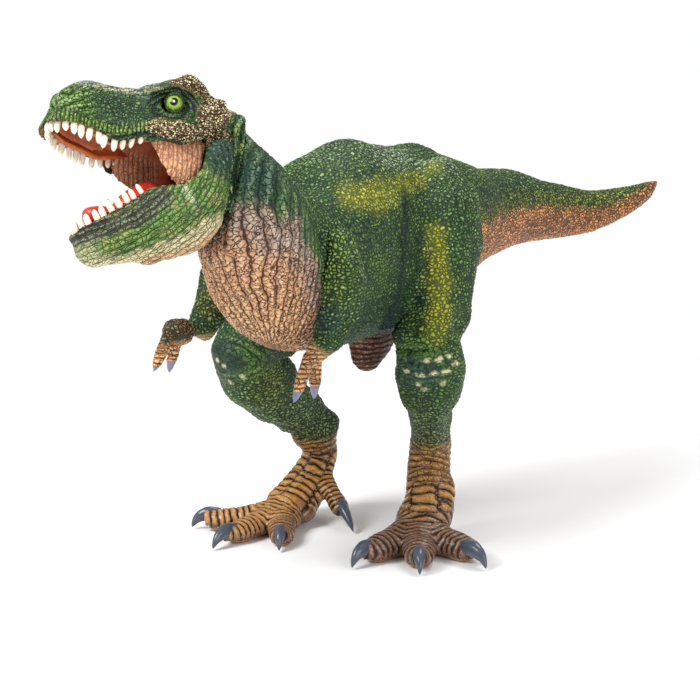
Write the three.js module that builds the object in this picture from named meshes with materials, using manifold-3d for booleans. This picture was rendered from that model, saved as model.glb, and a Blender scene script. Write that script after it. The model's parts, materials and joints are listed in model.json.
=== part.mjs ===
import * as THREE from 'three';
import { mergeVertices } from 'three/addons/utils/BufferGeometryUtils.js';
import Module from 'manifold-3d';

// Toy dinosaur figure: a large two-legged meat eater, striding, its mouth wide open.
// Millimetres, +Z up. The head looks toward -Y and turns to the animal's right, which is -X.
// Every moulding is lofted from rings along a spine, then cut to fit its neighbours.

const wasm = await Module();
wasm.setup();

// Clearances shared by every moulding.
const fit = 0.3;              // gap between mouldings that sit in or on each other
const overrun = 6;            // how far a cutter passes beyond what it cuts

// Trunk: a barrel carried level over the hips.
const hipHeight = 90;         // middle of the hips over the ground
const trunkLength = 100;      // shoulders to tail root
const tailSeam = 60;          // flat joint of trunk and tail, behind the hips
const trunkHalfWidth = 22;
const trunkHalfDepth = 26;

// Tail.
const tailLength = 89;        // tail root to tip
const tailRadius = 13.5;      // at the root
const tailSwing = 24;         // how far the tip stands to the animal's left

// Head, placed by its jaw hinge.
const hingeAhead = 90;        // hinge in front of the hips
const hingeHeight = 121.9;
const hingeAside = 3.5;       // hinge to the right of the middle plane
const headTurn = -42;         // degrees to the right
const headLift = -16;         // degrees, snout up
const headRoll = -18;         // degrees, left cheek up
const headLength = 50;
const muzzleWidth = 20;
const skullHeight = 20;
const neckSeam = 7;           // flat joint of head and neck, behind the hinge
const neckHalfWidth = 14.5;
const neckRise = 21;          // neck's middle to its nape, at the seam
const neckFall = 15.5;        // neck's middle to the throat, at the seam

// Jaws.
const gape = 43;              // degrees, lower jaw fully down on its stop
const ramusGap = 13.4;        // half the inside distance of the lower jaw's two arms
const pinRadius = 1.6;
const pinHalfLength = 15;
const gumHalf = 0.8;          // half thickness of a tooth row's gum strip
const gumHalfHeight = 1.2;
const gumSlotDepth = 1.6;     // how far the slot of a gum strip goes on to open at the lip
const eyeRadius = 2.7;

// Teeth.
const toothHalfWidth = 0.95;
const toothHalfDepth = 0.75;
const upperToothLength = 3.4;
const lowerToothLength = 2.9;
const toothPitch = 2.4;

// Legs and feet.
const hipHalfSpan = 20;
const legReach = 40;          // unit of the leg's sweep forward and back
const legBulk = 10;           // half thickness of the thigh
const toeReach = 32;          // foot's middle to claw tip
const toeRadius = 5;
const clawRadius = 2.8;
const footClearance = 0.4;    // height of the claw tips over the ground
const solePress = 0.6;        // how much of each pad is pressed flat by the ground

// Arms and hands.
const armLength = 30;         // shoulder to wrist
const armRadius = 6;
const fingerLength = 12.4;
const fingerRadius = 1.9;

// Pegs moulded on the limbs, tail and head, glued into sockets of the trunk.
const hipPegRadius = 5;
const hipPegLength = 7;
const armPegRadius = 2.4;
const armPegDrop = 6;         // peg's middle under the shoulder
const armPegLength = 5;
const neckPegRadius = 5;
const neckPegLength = 6;
const tailPegRadius = 5;
const tailPegLength = 7;

// Finish of each moulding.
const finishes = {
  skin: { color: 0x4f7a35, roughness: 0.55, metalness: 0 },
  limb: { color: 0x58803a, roughness: 0.55, metalness: 0 },
  skull: { color: 0x5d7436, roughness: 0.55, metalness: 0 },
  jaw: { color: 0x5f8a3c, roughness: 0.5, metalness: 0 },
  lining: { color: 0xb9643c, roughness: 0.5, metalness: 0 },
  tongue: { color: 0xc63a2c, roughness: 0.4, metalness: 0 },
  teeth: { color: 0xeee6d2, roughness: 0.4, metalness: 0 },
  eye: { color: 0x9dbf24, roughness: 0.15, metalness: 0 },
  pin: { color: 0x3c4038, roughness: 0.5, metalness: 0 },
};

const place = (x, y, z) => new THREE.Vector3(x, y, z);
const upright = place(0, 0, 1);
const forward = place(0, -1, 0);

// A closed manifold solid from a three.js geometry.
function solidOf(geometry) {
  const bare = geometry.clone();
  bare.deleteAttribute('normal');
  bare.deleteAttribute('uv');
  const merged = mergeVertices(bare);
  return new wasm.Manifold(new wasm.Mesh({
    numProp: 3,
    vertProperties: new Float32Array(merged.attributes.position.array),
    triVerts: new Uint32Array(merged.index.array),
  }));
}

// A three.js geometry from a manifold solid.
function geometryOf(solid) {
  const mesh = solid.getMesh();
  const geometry = new THREE.BufferGeometry();
  geometry.setAttribute('position', new THREE.BufferAttribute(mesh.vertProperties, 3));
  geometry.setIndex(new THREE.BufferAttribute(mesh.triVerts, 1));
  geometry.computeVertexNormals();
  return geometry;
}

// One point of a rounded-box ring: a squareness of 2 gives an ellipse and more a boxier ring.
function ringPoint(angle, above, below) {
  const square = Math.sin(angle) > 0 ? above : below;
  const round = (value) => Math.sign(value) * Math.abs(value) ** (2 / square);
  return [round(Math.cos(angle)), round(Math.sin(angle))];
}

// Closed loft. A station has a place, half sizes (side, up, down) and the direction that is up
// on its ring. Rings stand square to the spine, or all square to one heading. Rounded ends reach
// past the end stations by a share of their half height.
function loft(stations, options = {}) {
  const { sides = 16, steps = 2, capSteps = 2, flareShare = 0, grow = 0 } = options;
  const [frontShare, backShare] = options.capShares ?? [0.6, 0.6];
  const [above, below] = options.square ?? [2.2, 2.2];
  const spine = new THREE.CatmullRomCurve3(stations.map((s) => s.at));
  const sizes = new THREE.CatmullRomCurve3(stations.map((s) => place(s.side, s.up, s.down)));
  const hints = new THREE.CatmullRomCurve3(stations.map((s) => s.hint ?? upright));
  const count = (stations.length - 1) * steps;
  const rings = [];
  const heading = (share) => options.heading ?? spine.getTangent(share).normalize();
  const addRing = (share, shift, shrink) => {
    const along = heading(share);
    const centre = spine.getPoint(share).addScaledVector(along, shift);
    const size = sizes.getPoint(share).addScalar(grow).multiplyScalar(shrink);
    const up = hints.getPoint(share).addScaledVector(along, -hints.getPoint(share).dot(along));
    up.normalize();
    const left = new THREE.Vector3().crossVectors(up, along);
    const ring = [];
    for (let k = 0; k < sides; k += 1) {
      const [c, s] = ringPoint((2 * Math.PI * k) / sides, above, below);
      const lift = s > 0 ? size.y : size.z;
      const wide = size.x * (1 + flareShare * s);
      ring.push(centre.clone().addScaledVector(left, wide * c).addScaledVector(up, lift * s));
    }
    rings.push(ring);
  };
  const frontReach = frontShare * (sizes.getPoint(0).y + grow);
  const backReach = backShare * (sizes.getPoint(1).y + grow);
  for (let k = capSteps; k > 0 && frontReach > 0; k -= 1) {
    const turn = (k / (capSteps + 1)) * (Math.PI / 2);
    addRing(0, -frontReach * Math.sin(turn), Math.cos(turn));
  }
  for (let k = 0; k <= count; k += 1) addRing(k / count, 0, 1);
  for (let k = 1; k <= capSteps && backReach > 0; k += 1) {
    const turn = (k / (capSteps + 1)) * (Math.PI / 2);
    addRing(1, backReach * Math.sin(turn), Math.cos(turn));
  }
  const first = spine.getPoint(0).addScaledVector(heading(0), -frontReach);
  const last = spine.getPoint(1).addScaledVector(heading(1), backReach);
  const points = [...rings.flat(), first, last];
  const faces = [];
  const end = rings.length - 1;
  const pole = rings.length * sides;
  for (let k = 0; k < sides; k += 1) {
    const next = (k + 1) % sides;
    for (let r = 0; r < end; r += 1) {
      const [a, b] = [r * sides + k, r * sides + next];
      faces.push(a, b, b + sides, a, b + sides, a + sides);
    }
    faces.push(pole, next, k);
    faces.push(pole + 1, end * sides + k, end * sides + next);
  }
  return orientedGeometry(points, faces);
}

// A geometry whose faces point out, whichever way its rings ran.
function orientedGeometry(points, faces) {
  let volume = 0;
  for (let k = 0; k < faces.length; k += 3) {
    const [a, b, c] = [points[faces[k]], points[faces[k + 1]], points[faces[k + 2]]];
    volume += a.dot(new THREE.Vector3().crossVectors(b, c));
  }
  if (volume < 0) faces.reverse();
  const geometry = new THREE.BufferGeometry();
  geometry.setAttribute('position', new THREE.Float32BufferAttribute(points.flatMap((p) => p.toArray()), 3));
  geometry.setIndex(faces);
  return geometry;
}

// A round peg or cutter from one place to another.
function rod(from, to, radius, sides = 16) {
  const along = to.clone().sub(from);
  const geometry = new THREE.CylinderGeometry(radius, radius, along.length(), sides);
  geometry.applyQuaternion(new THREE.Quaternion().setFromUnitVectors(place(0, 1, 0), along.normalize()));
  return geometry.translate(...from.clone().add(to).multiplyScalar(0.5).toArray());
}

// A box cutter between two corners.
function block(low, high) {
  const size = high.clone().sub(low);
  return new THREE.BoxGeometry(size.x, size.y, size.z).translate(
    ...low.clone().add(high).multiplyScalar(0.5).toArray());
}

// The head's own frame: hinge at the origin, snout toward -Y, hinge pin along X.
const headGroup = new THREE.Group();
headGroup.position.set(-hingeAside, -hingeAhead, hingeHeight);
headGroup.rotation.set(...[headLift, headRoll, headTurn].map(THREE.MathUtils.degToRad), 'ZXY');
headGroup.updateMatrix();
const inHead = (x, y, z) => place(x, y, z).applyMatrix4(headGroup.matrix);
const headUp = inHead(0, 0, 1).sub(headGroup.position);

// Trunk stations from tail root to shoulders: along, height, side, up and down.
const trunkShares = [
  [0.64, 0.975, 0.55, 0.51, 0.50],
  [0.56, 0.975, 0.60, 0.56, 0.56],
  [0.42, 0.985, 0.70, 0.70, 0.72],
  [0.22, 0.990, 0.76, 0.90, 0.98],
  [0.00, 0.995, 0.84, 1.02, 1.08],
  [-0.18, 0.995, 0.92, 1.11, 1.08],
  [-0.36, 0.995, 0.95, 1.07, 1.06],
  [-0.52, 1.005, 0.89, 0.82, 1.00],
  [-0.66, 1.065, 0.76, 0.64, 0.84],
];
// Neck behind the seam: back and drop from the hinge, in neck rises, then its half sizes.
const neckShares = { back: 0.62, drop: 0.50, side: 1.02, up: 0.74, down: 1.06 };
const neckDrop = 8;           // neck's middle under the hinge, at the seam

function trunkStations() {
  const stations = trunkShares.map(([along, height, side, up, down]) => ({
    at: place(0, along * trunkLength, height * hipHeight),
    side: side * trunkHalfWidth,
    up: up * trunkHalfDepth,
    down: down * trunkHalfDepth,
  }));
  stations.push({
    at: inHead(0, neckShares.back * neckRise, -neckShares.drop * neckRise),
    side: neckShares.side * neckHalfWidth,
    up: neckShares.up * neckRise,
    down: neckShares.down * neckFall,
    hint: upright.clone().add(headUp).normalize(),
  });
  stations.push({
    at: inHead(0, neckSeam - overrun, -neckDrop),
    side: neckHalfWidth,
    up: neckRise,
    down: neckFall,
    hint: headUp,
  });
  return stations;
}

const trunkLoft = (grow) => loft(trunkStations(), { sides: 24, steps: 2, capShares: [0, 0], grow });

// Legs. Stations from the hip's top to the foot: out, ahead, height, then side, fore and aft.
const leftLegShares = [
  [0.80, -0.10, 1.200, 0.50, 0.85, 0.85],
  [0.92, -0.12, 1.125, 0.92, 1.40, 1.15],
  [1.00, -0.08, 0.980, 1.02, 1.50, 1.22],
  [1.05, 0.02, 0.845, 0.94, 1.30, 1.14],
  [1.15, 0.20, 0.730, 0.84, 1.05, 1.05],
  [1.20, 0.32, 0.630, 0.90, 1.00, 1.00],
  [1.15, 0.28, 0.530, 0.86, 0.85, 1.05],
  [1.00, 0.15, 0.440, 0.70, 0.65, 0.80],
  [0.85, 0.02, 0.365, 0.56, 0.56, 0.65],
  [0.75, -0.08, 0.300, 0.60, 0.60, 0.65],
  [0.82, 0.02, 0.210, 0.66, 0.56, 0.60],
  [0.95, 0.18, 0.120, 0.76, 0.62, 0.66],
  [1.00, 0.28, 0.060, 0.80, 0.72, 0.74],
];
const rightLegShares = [
  [0.80, -0.12, 1.220, 0.55, 0.95, 0.90],
  [0.92, -0.08, 1.100, 0.92, 1.40, 1.35],
  [1.05, 0.15, 0.950, 1.02, 1.45, 1.40],
  [1.20, 0.42, 0.820, 0.98, 1.20, 1.42],
  [1.37, 0.64, 0.710, 0.97, 1.03, 1.36],
  [1.48, 0.77, 0.625, 0.93, 0.98, 1.20],
  [1.48, 0.68, 0.540, 0.88, 0.95, 1.05],
  [1.38, 0.38, 0.450, 0.78, 0.85, 0.88],
  [1.25, 0.06, 0.370, 0.62, 0.70, 0.68],
  [1.15, -0.04, 0.300, 0.56, 0.56, 0.58],
  [1.17, -0.10, 0.210, 0.49, 0.47, 0.49],
  [1.24, 0.03, 0.125, 0.62, 0.54, 0.54],
  [1.30, 0.26, 0.055, 0.78, 0.70, 0.70],
];

// Each foot: heading of its middle toe in degrees outward, and where its toes part.
const leftFoot = { heading: 30, outShare: 0.95, aheadShare: 0.30, bulkShare: 1 };
const rightFoot = { heading: 7, outShare: 1.30, aheadShare: 0.35, bulkShare: 0.86 };
const toeShares = [
  { turn: -37, reach: 0.94 },
  { turn: 0, reach: 1.0 },
  { turn: 40, reach: 0.92 },
];
// Toe along its reach: along, height, side, up and down, in toe radii.
const toeProfileShares = [
  [0.00, 1.05, 1.05, 1.10, 1.15],
  [0.22, 0.98, 1.02, 0.98, 1.08],
  [0.42, 0.86, 0.90, 0.82, 0.97],
  [0.60, 0.88, 0.94, 0.76, 0.99],
  [0.74, 0.78, 0.84, 0.66, 0.89],
];
// Claw along the toe's reach: along, height in toe radii, radius in claw radii.
const clawShares = [
  [0.70, 1.00, 0.75],
  [0.80, 1.08, 0.92],
  [0.90, 0.82, 0.74],
  [0.965, 0.46, 0.44],
];
const clawTipShare = 0.125;   // claw tip's radius over the claw's
const halluxTipShare = 0.25;
// The first toe, high on the inside: its root on the shank's foot, then its claw tip, as out and
// ahead like the leg's own stations, and the root's height.
leftFoot.halluxShares = { root: [0.72, 0.10, 0.125], tip: [0.32, -0.10] };
rightFoot.halluxShares = { root: [1.08, -0.02, 0.150], tip: [0.15, 0.29] };
// Its joints and its claw: share of the way to the tip, and radius.
const phalanxShares = [[0, 0.62], [0.35, 0.50], [0.62, 0.56]];
const halluxClawShares = [[0.60, 0.62], [0.80, 0.50], [1.00, 0.12]];

function legStations(shares, side) {
  return shares.map(([out, ahead, height, wide, fore, aft]) => ({
    at: place(side * out * hipHalfSpan, -ahead * legReach, height * hipHeight),
    side: wide * legBulk,
    up: fore * legBulk,
    down: aft * legBulk,
    hint: forward,
  }));
}

// A toe and its claw, from its root along a level direction.
function toe(root, direction, reach, bulk) {
  const at = (along, height) => root.clone().addScaledVector(direction, along * reach).setZ(height);
  const pads = toeProfileShares.map(([along, height, side, up, down]) => ({
    at: at(along, height * bulk - solePress),
    side: side * bulk,
    up: up * bulk,
    down: down * bulk,
  }));
  const claw = clawShares.map(([along, height, radius]) => ({
    at: at(along, height * bulk - solePress),
    side: radius * clawRadius,
    up: radius * clawRadius,
    down: radius * clawRadius,
  }));
  const tipRadius = clawTipShare * clawRadius;
  claw.push({ at: at(1, footClearance + tipRadius), side: tipRadius, up: tipRadius, down: tipRadius });
  const toeSolid = solidOf(loft(pads, { sides: 8, steps: 1, capShares: [0.5, 0.6] }));
  return toeSolid.add(solidOf(loft(claw, { sides: 6, steps: 1, capSteps: 0, capShares: [0.4, 0.4] })));
}

function hallux(foot, side) {
  const [rootOut, rootAhead, rootHeight] = foot.halluxShares.root;
  const [tipOut, tipAhead] = foot.halluxShares.tip;
  const root = place(side * rootOut * hipHalfSpan, -rootAhead * legReach, rootHeight * hipHeight);
  const tip = place(
    side * tipOut * hipHalfSpan, -tipAhead * legReach, footClearance + halluxTipShare * clawRadius);
  const round = ([share, wide], unit) => ({
    at: root.clone().lerp(tip, share),
    side: wide * unit,
    up: wide * unit,
    down: wide * unit,
  });
  const phalanx = phalanxShares.map((row) => round(row, toeRadius));
  const claw = halluxClawShares.map((row) => round(row, clawRadius));
  return solidOf(loft(phalanx, { sides: 8, steps: 1, capShares: [0.5, 0.7] }))
    .add(solidOf(loft(claw, { sides: 6, steps: 1, capSteps: 0, capShares: [0.5, 0.5] })));
}

function leg(shares, foot, side) {
  const root = place(side * foot.outShare * hipHalfSpan, -foot.aheadShare * legReach, 0);
  let solid = solidOf(loft(legStations(shares, side), { sides: 16, steps: 1, capShares: [0.6, 0.5] }));
  for (const { turn, reach } of toeShares) {
    const angle = THREE.MathUtils.degToRad(foot.heading + turn);
    const direction = place(side * Math.sin(angle), -Math.cos(angle), 0);
    solid = solid.add(toe(root, direction, reach * toeReach, foot.bulkShare * toeRadius));
  }
  solid = solid.add(hallux(foot, side));
  solid = solid.subtract(solidOf(trunkLoft(fit)));
  solid = solid.add(solidOf(hipPeg(side, 0)));
  const underGround = block(place(-hipHeight, -hipHeight, -hipHeight), place(hipHeight, hipHeight, 0));
  return solid.subtract(solidOf(underGround));
}

// The peg on the thigh's inner face, or its socket in the trunk.
const thighInside = 15;       // thigh's inner face beside the middle plane
function hipPeg(side, clearance) {
  const inner = place(side * (thighInside - hipPegLength - clearance), 0, hipHeight);
  const outer = place(side * hipHalfSpan, 0, hipHeight);
  return rod(inner, outer, hipPegRadius + clearance);
}

// Arms: stations from shoulder to wrist, as out, ahead and height of arm lengths from the shoulder,
// and a radius; then the two fingers' claw tips seen from the wrist.
const shoulderShares = {
  left: { out: 0.86, along: -0.57, height: 1.07 },
  right: { out: 0.86, along: -0.56, height: 1.03 },
};
const armShares = {
  left: [[-0.06, -0.05, 0.05, 0.80], [0.05, 0.02, -0.30, 1.05], [0.06, 0.08, -0.60, 1.02],
    [-0.02, 0.18, -0.84, 0.74], [-0.09, 0.25, -0.95, 0.50], [-0.13, 0.28, -1.02, 0.43]],
  right: [[-0.10, -0.05, 0.05, 0.90], [0.06, 0.04, -0.30, 1.05], [0.12, 0.06, -0.60, 0.90],
    [0.14, 0.22, -0.76, 0.72], [0.16, 0.47, -0.75, 0.63], [0.16, 0.64, -0.72, 0.60]],
};
const fingerShares = {
  left: [[-0.1, 0.45, -0.88], [-0.1, -0.08, -0.99]],
  right: [[0.0, 0.72, -0.88], [0.1, 0.25, -1.0]],
};
const fingerRootShares = [-1.1, 1.1];
// Finger along its length: along, radius.
const fingerProfileShares = [[-0.1, 1.05], [0.2, 0.95], [0.42, 1.0], [0.6, 0.95]];
const fingerClawShares = [[0.55, 0.85], [0.72, 0.8], [0.88, 0.52], [1.0, 0.15]];

function arm(name, side) {
  const shoulder = shoulderShares[name];
  const origin = place(
    side * shoulder.out * trunkHalfWidth, shoulder.along * trunkLength, shoulder.height * hipHeight);
  const at = (out, ahead, height) => origin.clone().add(
    place(side * out, -ahead, height).multiplyScalar(armLength));
  const stations = armShares[name].map(([out, ahead, height, radius]) => ({
    at: at(out, ahead, height),
    side: radius * armRadius,
    up: radius * armRadius,
    down: radius * armRadius,
    hint: forward,
  }));
  let solid = solidOf(loft(stations, { sides: 10, steps: 1, capShares: [0.6, 0.7] }));
  const wrist = stations.at(-1).at;
  fingerShares[name].forEach(([out, ahead, height], k) => {
    const direction = place(side * out, -ahead, height).normalize();
    const root = wrist.clone().add(place(0, fingerRootShares[k] * fingerRadius, 0));
    const step = (share) => root.clone().addScaledVector(direction, share * fingerLength);
    const round = (share, radius, unit) => ({
      at: step(share), side: radius * unit, up: radius * unit, down: radius * unit, hint: forward,
    });
    const finger = fingerProfileShares.map(([share, radius]) => round(share, radius, fingerRadius));
    const claw = fingerClawShares.map(([share, radius]) => round(share, radius, fingerRadius));
    solid = solid.add(solidOf(loft(finger, { sides: 6, steps: 1, capSteps: 0 })));
    solid = solid.add(solidOf(loft(claw, { sides: 6, steps: 1, capSteps: 0, capShares: [0.4, 0.3] })));
  });
  solid = solid.subtract(solidOf(trunkLoft(fit)));
  return solid.add(solidOf(armPeg(name, side, 0)));
}

// The peg at the shoulder, or its socket in the trunk.
function armPeg(name, side, clearance) {
  const { out, along, height } = shoulderShares[name];
  const at = (reach) => place(
    side * (out * trunkHalfWidth + reach), along * trunkLength, height * hipHeight - armPegDrop);
  return rod(at(-armPegLength - clearance), at(armRadius), armPegRadius + clearance, 12);
}

// The bulge between the legs, under the hips.
const pubisShares = [
  [-0.05, 0.720, 0.30, 0.40, 0.42],
  [-0.05, 0.650, 0.28, 0.38, 0.36],
  [-0.07, 0.600, 0.19, 0.26, 0.22],
];
function pubis() {
  const stations = pubisShares.map(([along, height, side, fore, aft]) => ({
    at: place(0, along * trunkLength, height * hipHeight),
    side: side * trunkHalfWidth,
    up: fore * trunkHalfDepth,
    down: aft * trunkHalfDepth,
    hint: forward,
  }));
  return loft(stations, { sides: 12, steps: 2, capShares: [0.4, 0.7] });
}

// Tail: along, aside, rise over the root and radius, in tail lengths, swings and radii.
const tailShares = [
  [-0.06, 0.00, 0.000, 1.08],
  [0.00, 0.00, 0.000, 1.04],
  [0.20, 0.06, -0.010, 0.91],
  [0.42, 0.22, -0.045, 0.71],
  [0.64, 0.46, -0.075, 0.54],
  [0.82, 0.74, -0.055, 0.38],
  [0.94, 0.92, -0.022, 0.23],
  [1.00, 1.00, 0.010, 0.06],
];
const tailFlatShare = 0.95;   // tail's half width over its half height
const rootHeight = trunkShares[0][1] * hipHeight;

// Everything behind the tail seam, or everything ahead of it.
function halfSpace(ahead, seam) {
  const reach = trunkLength + tailLength;
  const [low, high] = ahead ? [seam - reach, seam] : [seam, seam + reach];
  return solidOf(block(place(-reach, low, -reach), place(reach, high, reach)));
}

function tailPeg(clearance) {
  return rod(
    place(0, tailSeam - tailPegLength - clearance, rootHeight),
    place(0, tailSeam + tailPegLength, rootHeight), tailPegRadius + clearance);
}

function tail() {
  const stations = tailShares.map(([along, aside, rise, radius]) => ({
    at: place(aside * tailSwing, tailSeam + along * tailLength, rootHeight + rise * tailLength),
    side: radius * tailFlatShare * tailRadius,
    up: radius * tailRadius,
    down: radius * tailRadius,
  }));
  const solid = solidOf(loft(stations, { sides: 16, steps: 2, capShares: [0, 0.8] }));
  return solid.subtract(halfSpace(true, tailSeam + fit)).add(solidOf(tailPeg(0)));
}

// The trunk with the neck, cut flat at the head and hollowed for every peg.
function torso() {
  let solid = solidOf(trunkLoft(0)).add(solidOf(pubis())).subtract(halfSpace(false, tailSeam));
  const headSpace = block(
    place(-headLength, -headLength, -headLength),
    place(headLength, neckSeam, headLength)).applyMatrix4(headGroup.matrix);
  solid = solid.subtract(solidOf(headSpace));
  for (const side of [1, -1]) solid = solid.subtract(solidOf(hipPeg(side, fit)));
  solid = solid.subtract(solidOf(armPeg('left', 1, fit)));
  solid = solid.subtract(solidOf(armPeg('right', -1, fit)));
  solid = solid.subtract(solidOf(tailPeg(fit)));
  return solid.subtract(solidOf(neckPeg(fit).applyMatrix4(headGroup.matrix)));
}

// Head pieces below are modelled in the head's own frame.
function neckPeg(clearance) {
  return rod(
    place(0, 0, -neckDrop),
    place(0, neckSeam + neckPegLength + clearance, -neckDrop), neckPegRadius + clearance);
}

// A loft whose rows give ahead, half width, top and bottom.
function headLoft(rows, options) {
  const stations = rows.map(([ahead, side, top, bottom]) => ({
    at: place(0, -ahead * headLength, ((top + bottom) / 2) * skullHeight),
    side: side * muzzleWidth,
    up: ((top - bottom) / 2) * skullHeight,
    down: ((top - bottom) / 2) * skullHeight,
  }));
  return loft(stations, { heading: forward, ...options });
}

const skullShares = [
  [-0.13, 0.640, 0.62, 0.26],
  [0.00, 0.670, 0.68, 0.26],
  [0.07, 0.700, 0.70, 0.22],
  [0.12, 0.730, 0.70, 0.045],
  [0.20, 0.750, 0.75, -0.05],
  [0.28, 0.720, 0.73, -0.08],
  [0.37, 0.630, 0.68, -0.16],
  [0.46, 0.585, 0.65, -0.225],
  [0.54, 0.560, 0.63, -0.23],
  [0.62, 0.545, 0.62, -0.155],
  [0.70, 0.515, 0.63, -0.11],
  [0.77, 0.465, 0.55, -0.07],
  [0.82, 0.400, 0.42, -0.06],
  [0.86, 0.310, 0.22, -0.06],
  [0.875, 0.230, 0.06, -0.06],
];
// The ridge over each eye: ahead, aside, height, then radius in eye radii.
const browShares = [
  [0.42, 0.36, 0.56, 0.55],
  [0.32, 0.46, 0.66, 0.95],
  [0.22, 0.52, 0.74, 1.20],
  [0.13, 0.52, 0.69, 0.98],
  [0.04, 0.54, 0.56, 0.78],
];
const eyeShares = { ahead: 0.285, aside: 0.625, height: 0.47 };

function eyePlace(side) {
  return place(
    side * eyeShares.aside * muzzleWidth, -eyeShares.ahead * headLength, eyeShares.height * skullHeight);
}

function eyeball(side, clearance) {
  const centre = eyePlace(side);
  return new THREE.SphereGeometry(eyeRadius + clearance, 10, 7).translate(...centre.toArray());
}

function brow(side) {
  const stations = browShares.map(([ahead, aside, height, radius]) => ({
    at: place(side * aside * muzzleWidth, -ahead * headLength, height * skullHeight),
    side: radius * eyeRadius,
    up: radius * eyeRadius,
    down: radius * eyeRadius,
  }));
  return loft(stations, { sides: 8, steps: 1, capSteps: 1, capShares: [0.6, 0.6] });
}

// Middle line of a tooth row, from its left end round the front to its right end: ahead, aside, height.
const upperRowShares = [
  [0.39, 0.515, -0.08], [0.46, 0.49, -0.14], [0.54, 0.465, -0.145], [0.62, 0.45, -0.08],
  [0.70, 0.42, -0.035], [0.765, 0.365, 0.0], [0.81, 0.27, 0.01], [0.84, 0.14, 0.01], [0.848, 0, 0.01],
];
const lowerRowShares = [
  [0.42, 0.385, 0.02], [0.48, 0.355, 0.02], [0.55, 0.325, 0.02], [0.62, 0.30, 0.02],
  [0.70, 0.265, 0.02], [0.76, 0.215, 0.02], [0.80, 0.13, 0.015], [0.812, 0, 0.01],
];

function rowCurve(shares) {
  const near = shares.map(([ahead, aside, height]) => place(
    aside * muzzleWidth, -ahead * headLength, height * skullHeight));
  const far = near.slice(0, -1).reverse().map((p) => place(-p.x, p.y, p.z));
  return new THREE.CatmullRomCurve3([...near, ...far]);
}

// The gum strip of a tooth row, or the slot it sits in, which is open on the side of the teeth.
function gumStrip(shares, pointing, isSlot) {
  const curve = rowCurve(shares);
  const count = 2 * (shares.length - 1) + 2;
  const open = isSlot ? gumSlotDepth : 0;
  const stations = [];
  for (let k = 0; k <= count; k += 1) {
    stations.push({
      at: curve.getPoint(k / count),
      side: gumHalf,
      up: gumHalfHeight + Math.max(0, pointing) * open,
      down: gumHalfHeight + Math.max(0, -pointing) * open,
    });
  }
  const [grow, end] = isSlot ? [fit, fit / gumHalfHeight] : [0, 0];
  return loft(stations, { sides: 6, steps: 1, square: [4, 4], capSteps: 0, capShares: [end, end], grow });
}

// One tooth from root to tip: rise, width and lean back, in tooth lengths and half widths.
const toothShares = [[0, 0.85, 0], [0.55, 1, 0], [0.9, 0.62, 0.08]];
// Teeth grow from the row's end forward, and stand a little short two times in three.
const toothEndShares = { last: 0.55, growth: 3 };
const toothTurnShares = [0.88, 1, 0.88];
// Teeth stand on the strip at a steady pitch, pointing to one side of it, tall and short by turns.
function toothRow(shares, length, pointing) {
  const curve = rowCurve(shares);
  const total = curve.getLength();
  const count = Math.floor((total - 2 * toothHalfWidth) / toothPitch);
  let solid = solidOf(gumStrip(shares, pointing, false));
  for (let k = 0; k <= count; k += 1) {
    const share = (toothHalfWidth + ((total - 2 * toothHalfWidth) * k) / count) / total;
    const root = curve.getPointAt(share);
    const fromEnd = Math.min(share, 1 - share);
    const ending = Math.min(1, toothEndShares.last + toothEndShares.growth * fromEnd);
    const tall = length * ending * toothTurnShares[k % toothTurnShares.length];
    const along = curve.getTangentAt(share);
    const tooth = toothShares.map(([rise, wide, lean]) => ({
      at: root.clone().add(place(0, lean * tall, pointing * rise * (tall + gumHalfHeight))),
      side: wide * toothHalfWidth,
      up: wide * toothHalfDepth,
      down: wide * toothHalfDepth,
      hint: new THREE.Vector3().crossVectors(along, upright),
    }));
    solid = solid.add(solidOf(loft(tooth, { sides: 5, steps: 1, capSteps: 0, capShares: [0, 0.8] })));
  }
  return solid;
}

// The mouth lining: palate, cheeks and throat in one soft moulding, and the hollow inside it.
const liningShares = [
  [0.068, 0.590, 0.20, -0.60],
  [0.11, 0.590, 0.22, -0.66],
  [0.18, 0.575, 0.26, -0.71],
  [0.25, 0.575, 0.29, -0.56],
  [0.31, 0.560, 0.31, -0.35],
  [0.36, 0.500, 0.32, -0.20],
  [0.44, 0.425, 0.33, -0.22],
  [0.54, 0.405, 0.33, -0.23],
  [0.62, 0.390, 0.34, -0.15],
  [0.70, 0.355, 0.33, -0.11],
  [0.76, 0.290, 0.29, -0.07],
  [0.805, 0.180, 0.22, -0.05],
];
const mouthShares = [
  [0.15, 0.470, 0.12, -1.2],
  [0.25, 0.490, 0.20, -1.2],
  [0.31, 0.480, 0.23, -1.2],
  [0.36, 0.420, 0.25, -1.2],
  [0.44, 0.345, 0.26, -1.2],
  [0.54, 0.325, 0.26, -1.2],
  [0.62, 0.310, 0.27, -1.2],
  [0.70, 0.275, 0.26, -1.2],
  [0.76, 0.210, 0.21, -1.2],
];
const liningOptions = { sides: 12, steps: 1, square: [3, 3], flareShare: 0.06 };

const liningLoft = (grow) => solidOf(headLoft(liningShares, { ...liningOptions, capShares: [0, 0.3], grow }));
const mouthHollow = () => solidOf(headLoft(mouthShares, { ...liningOptions, capShares: [0.1, 0.5] }));
const lining = () => liningLoft(0).subtract(mouthHollow());

// The block that carries the hinge pin between the arms of the lower jaw.
const hingeBlockShares = { half: 0.88, front: 0.062, top: 0.32, bottom: -0.72 };
function hingeBlock() {
  const { half, front, top, bottom } = hingeBlockShares;
  return block(
    place(-half * ramusGap, -front * headLength, bottom * skullHeight),
    place(half * ramusGap, neckSeam - fit, top * skullHeight));
}

function pin(clearance) {
  const reach = pinHalfLength + clearance;
  return rod(place(-reach, 0, 0), place(reach, 0, 0), pinRadius + clearance);
}

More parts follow.
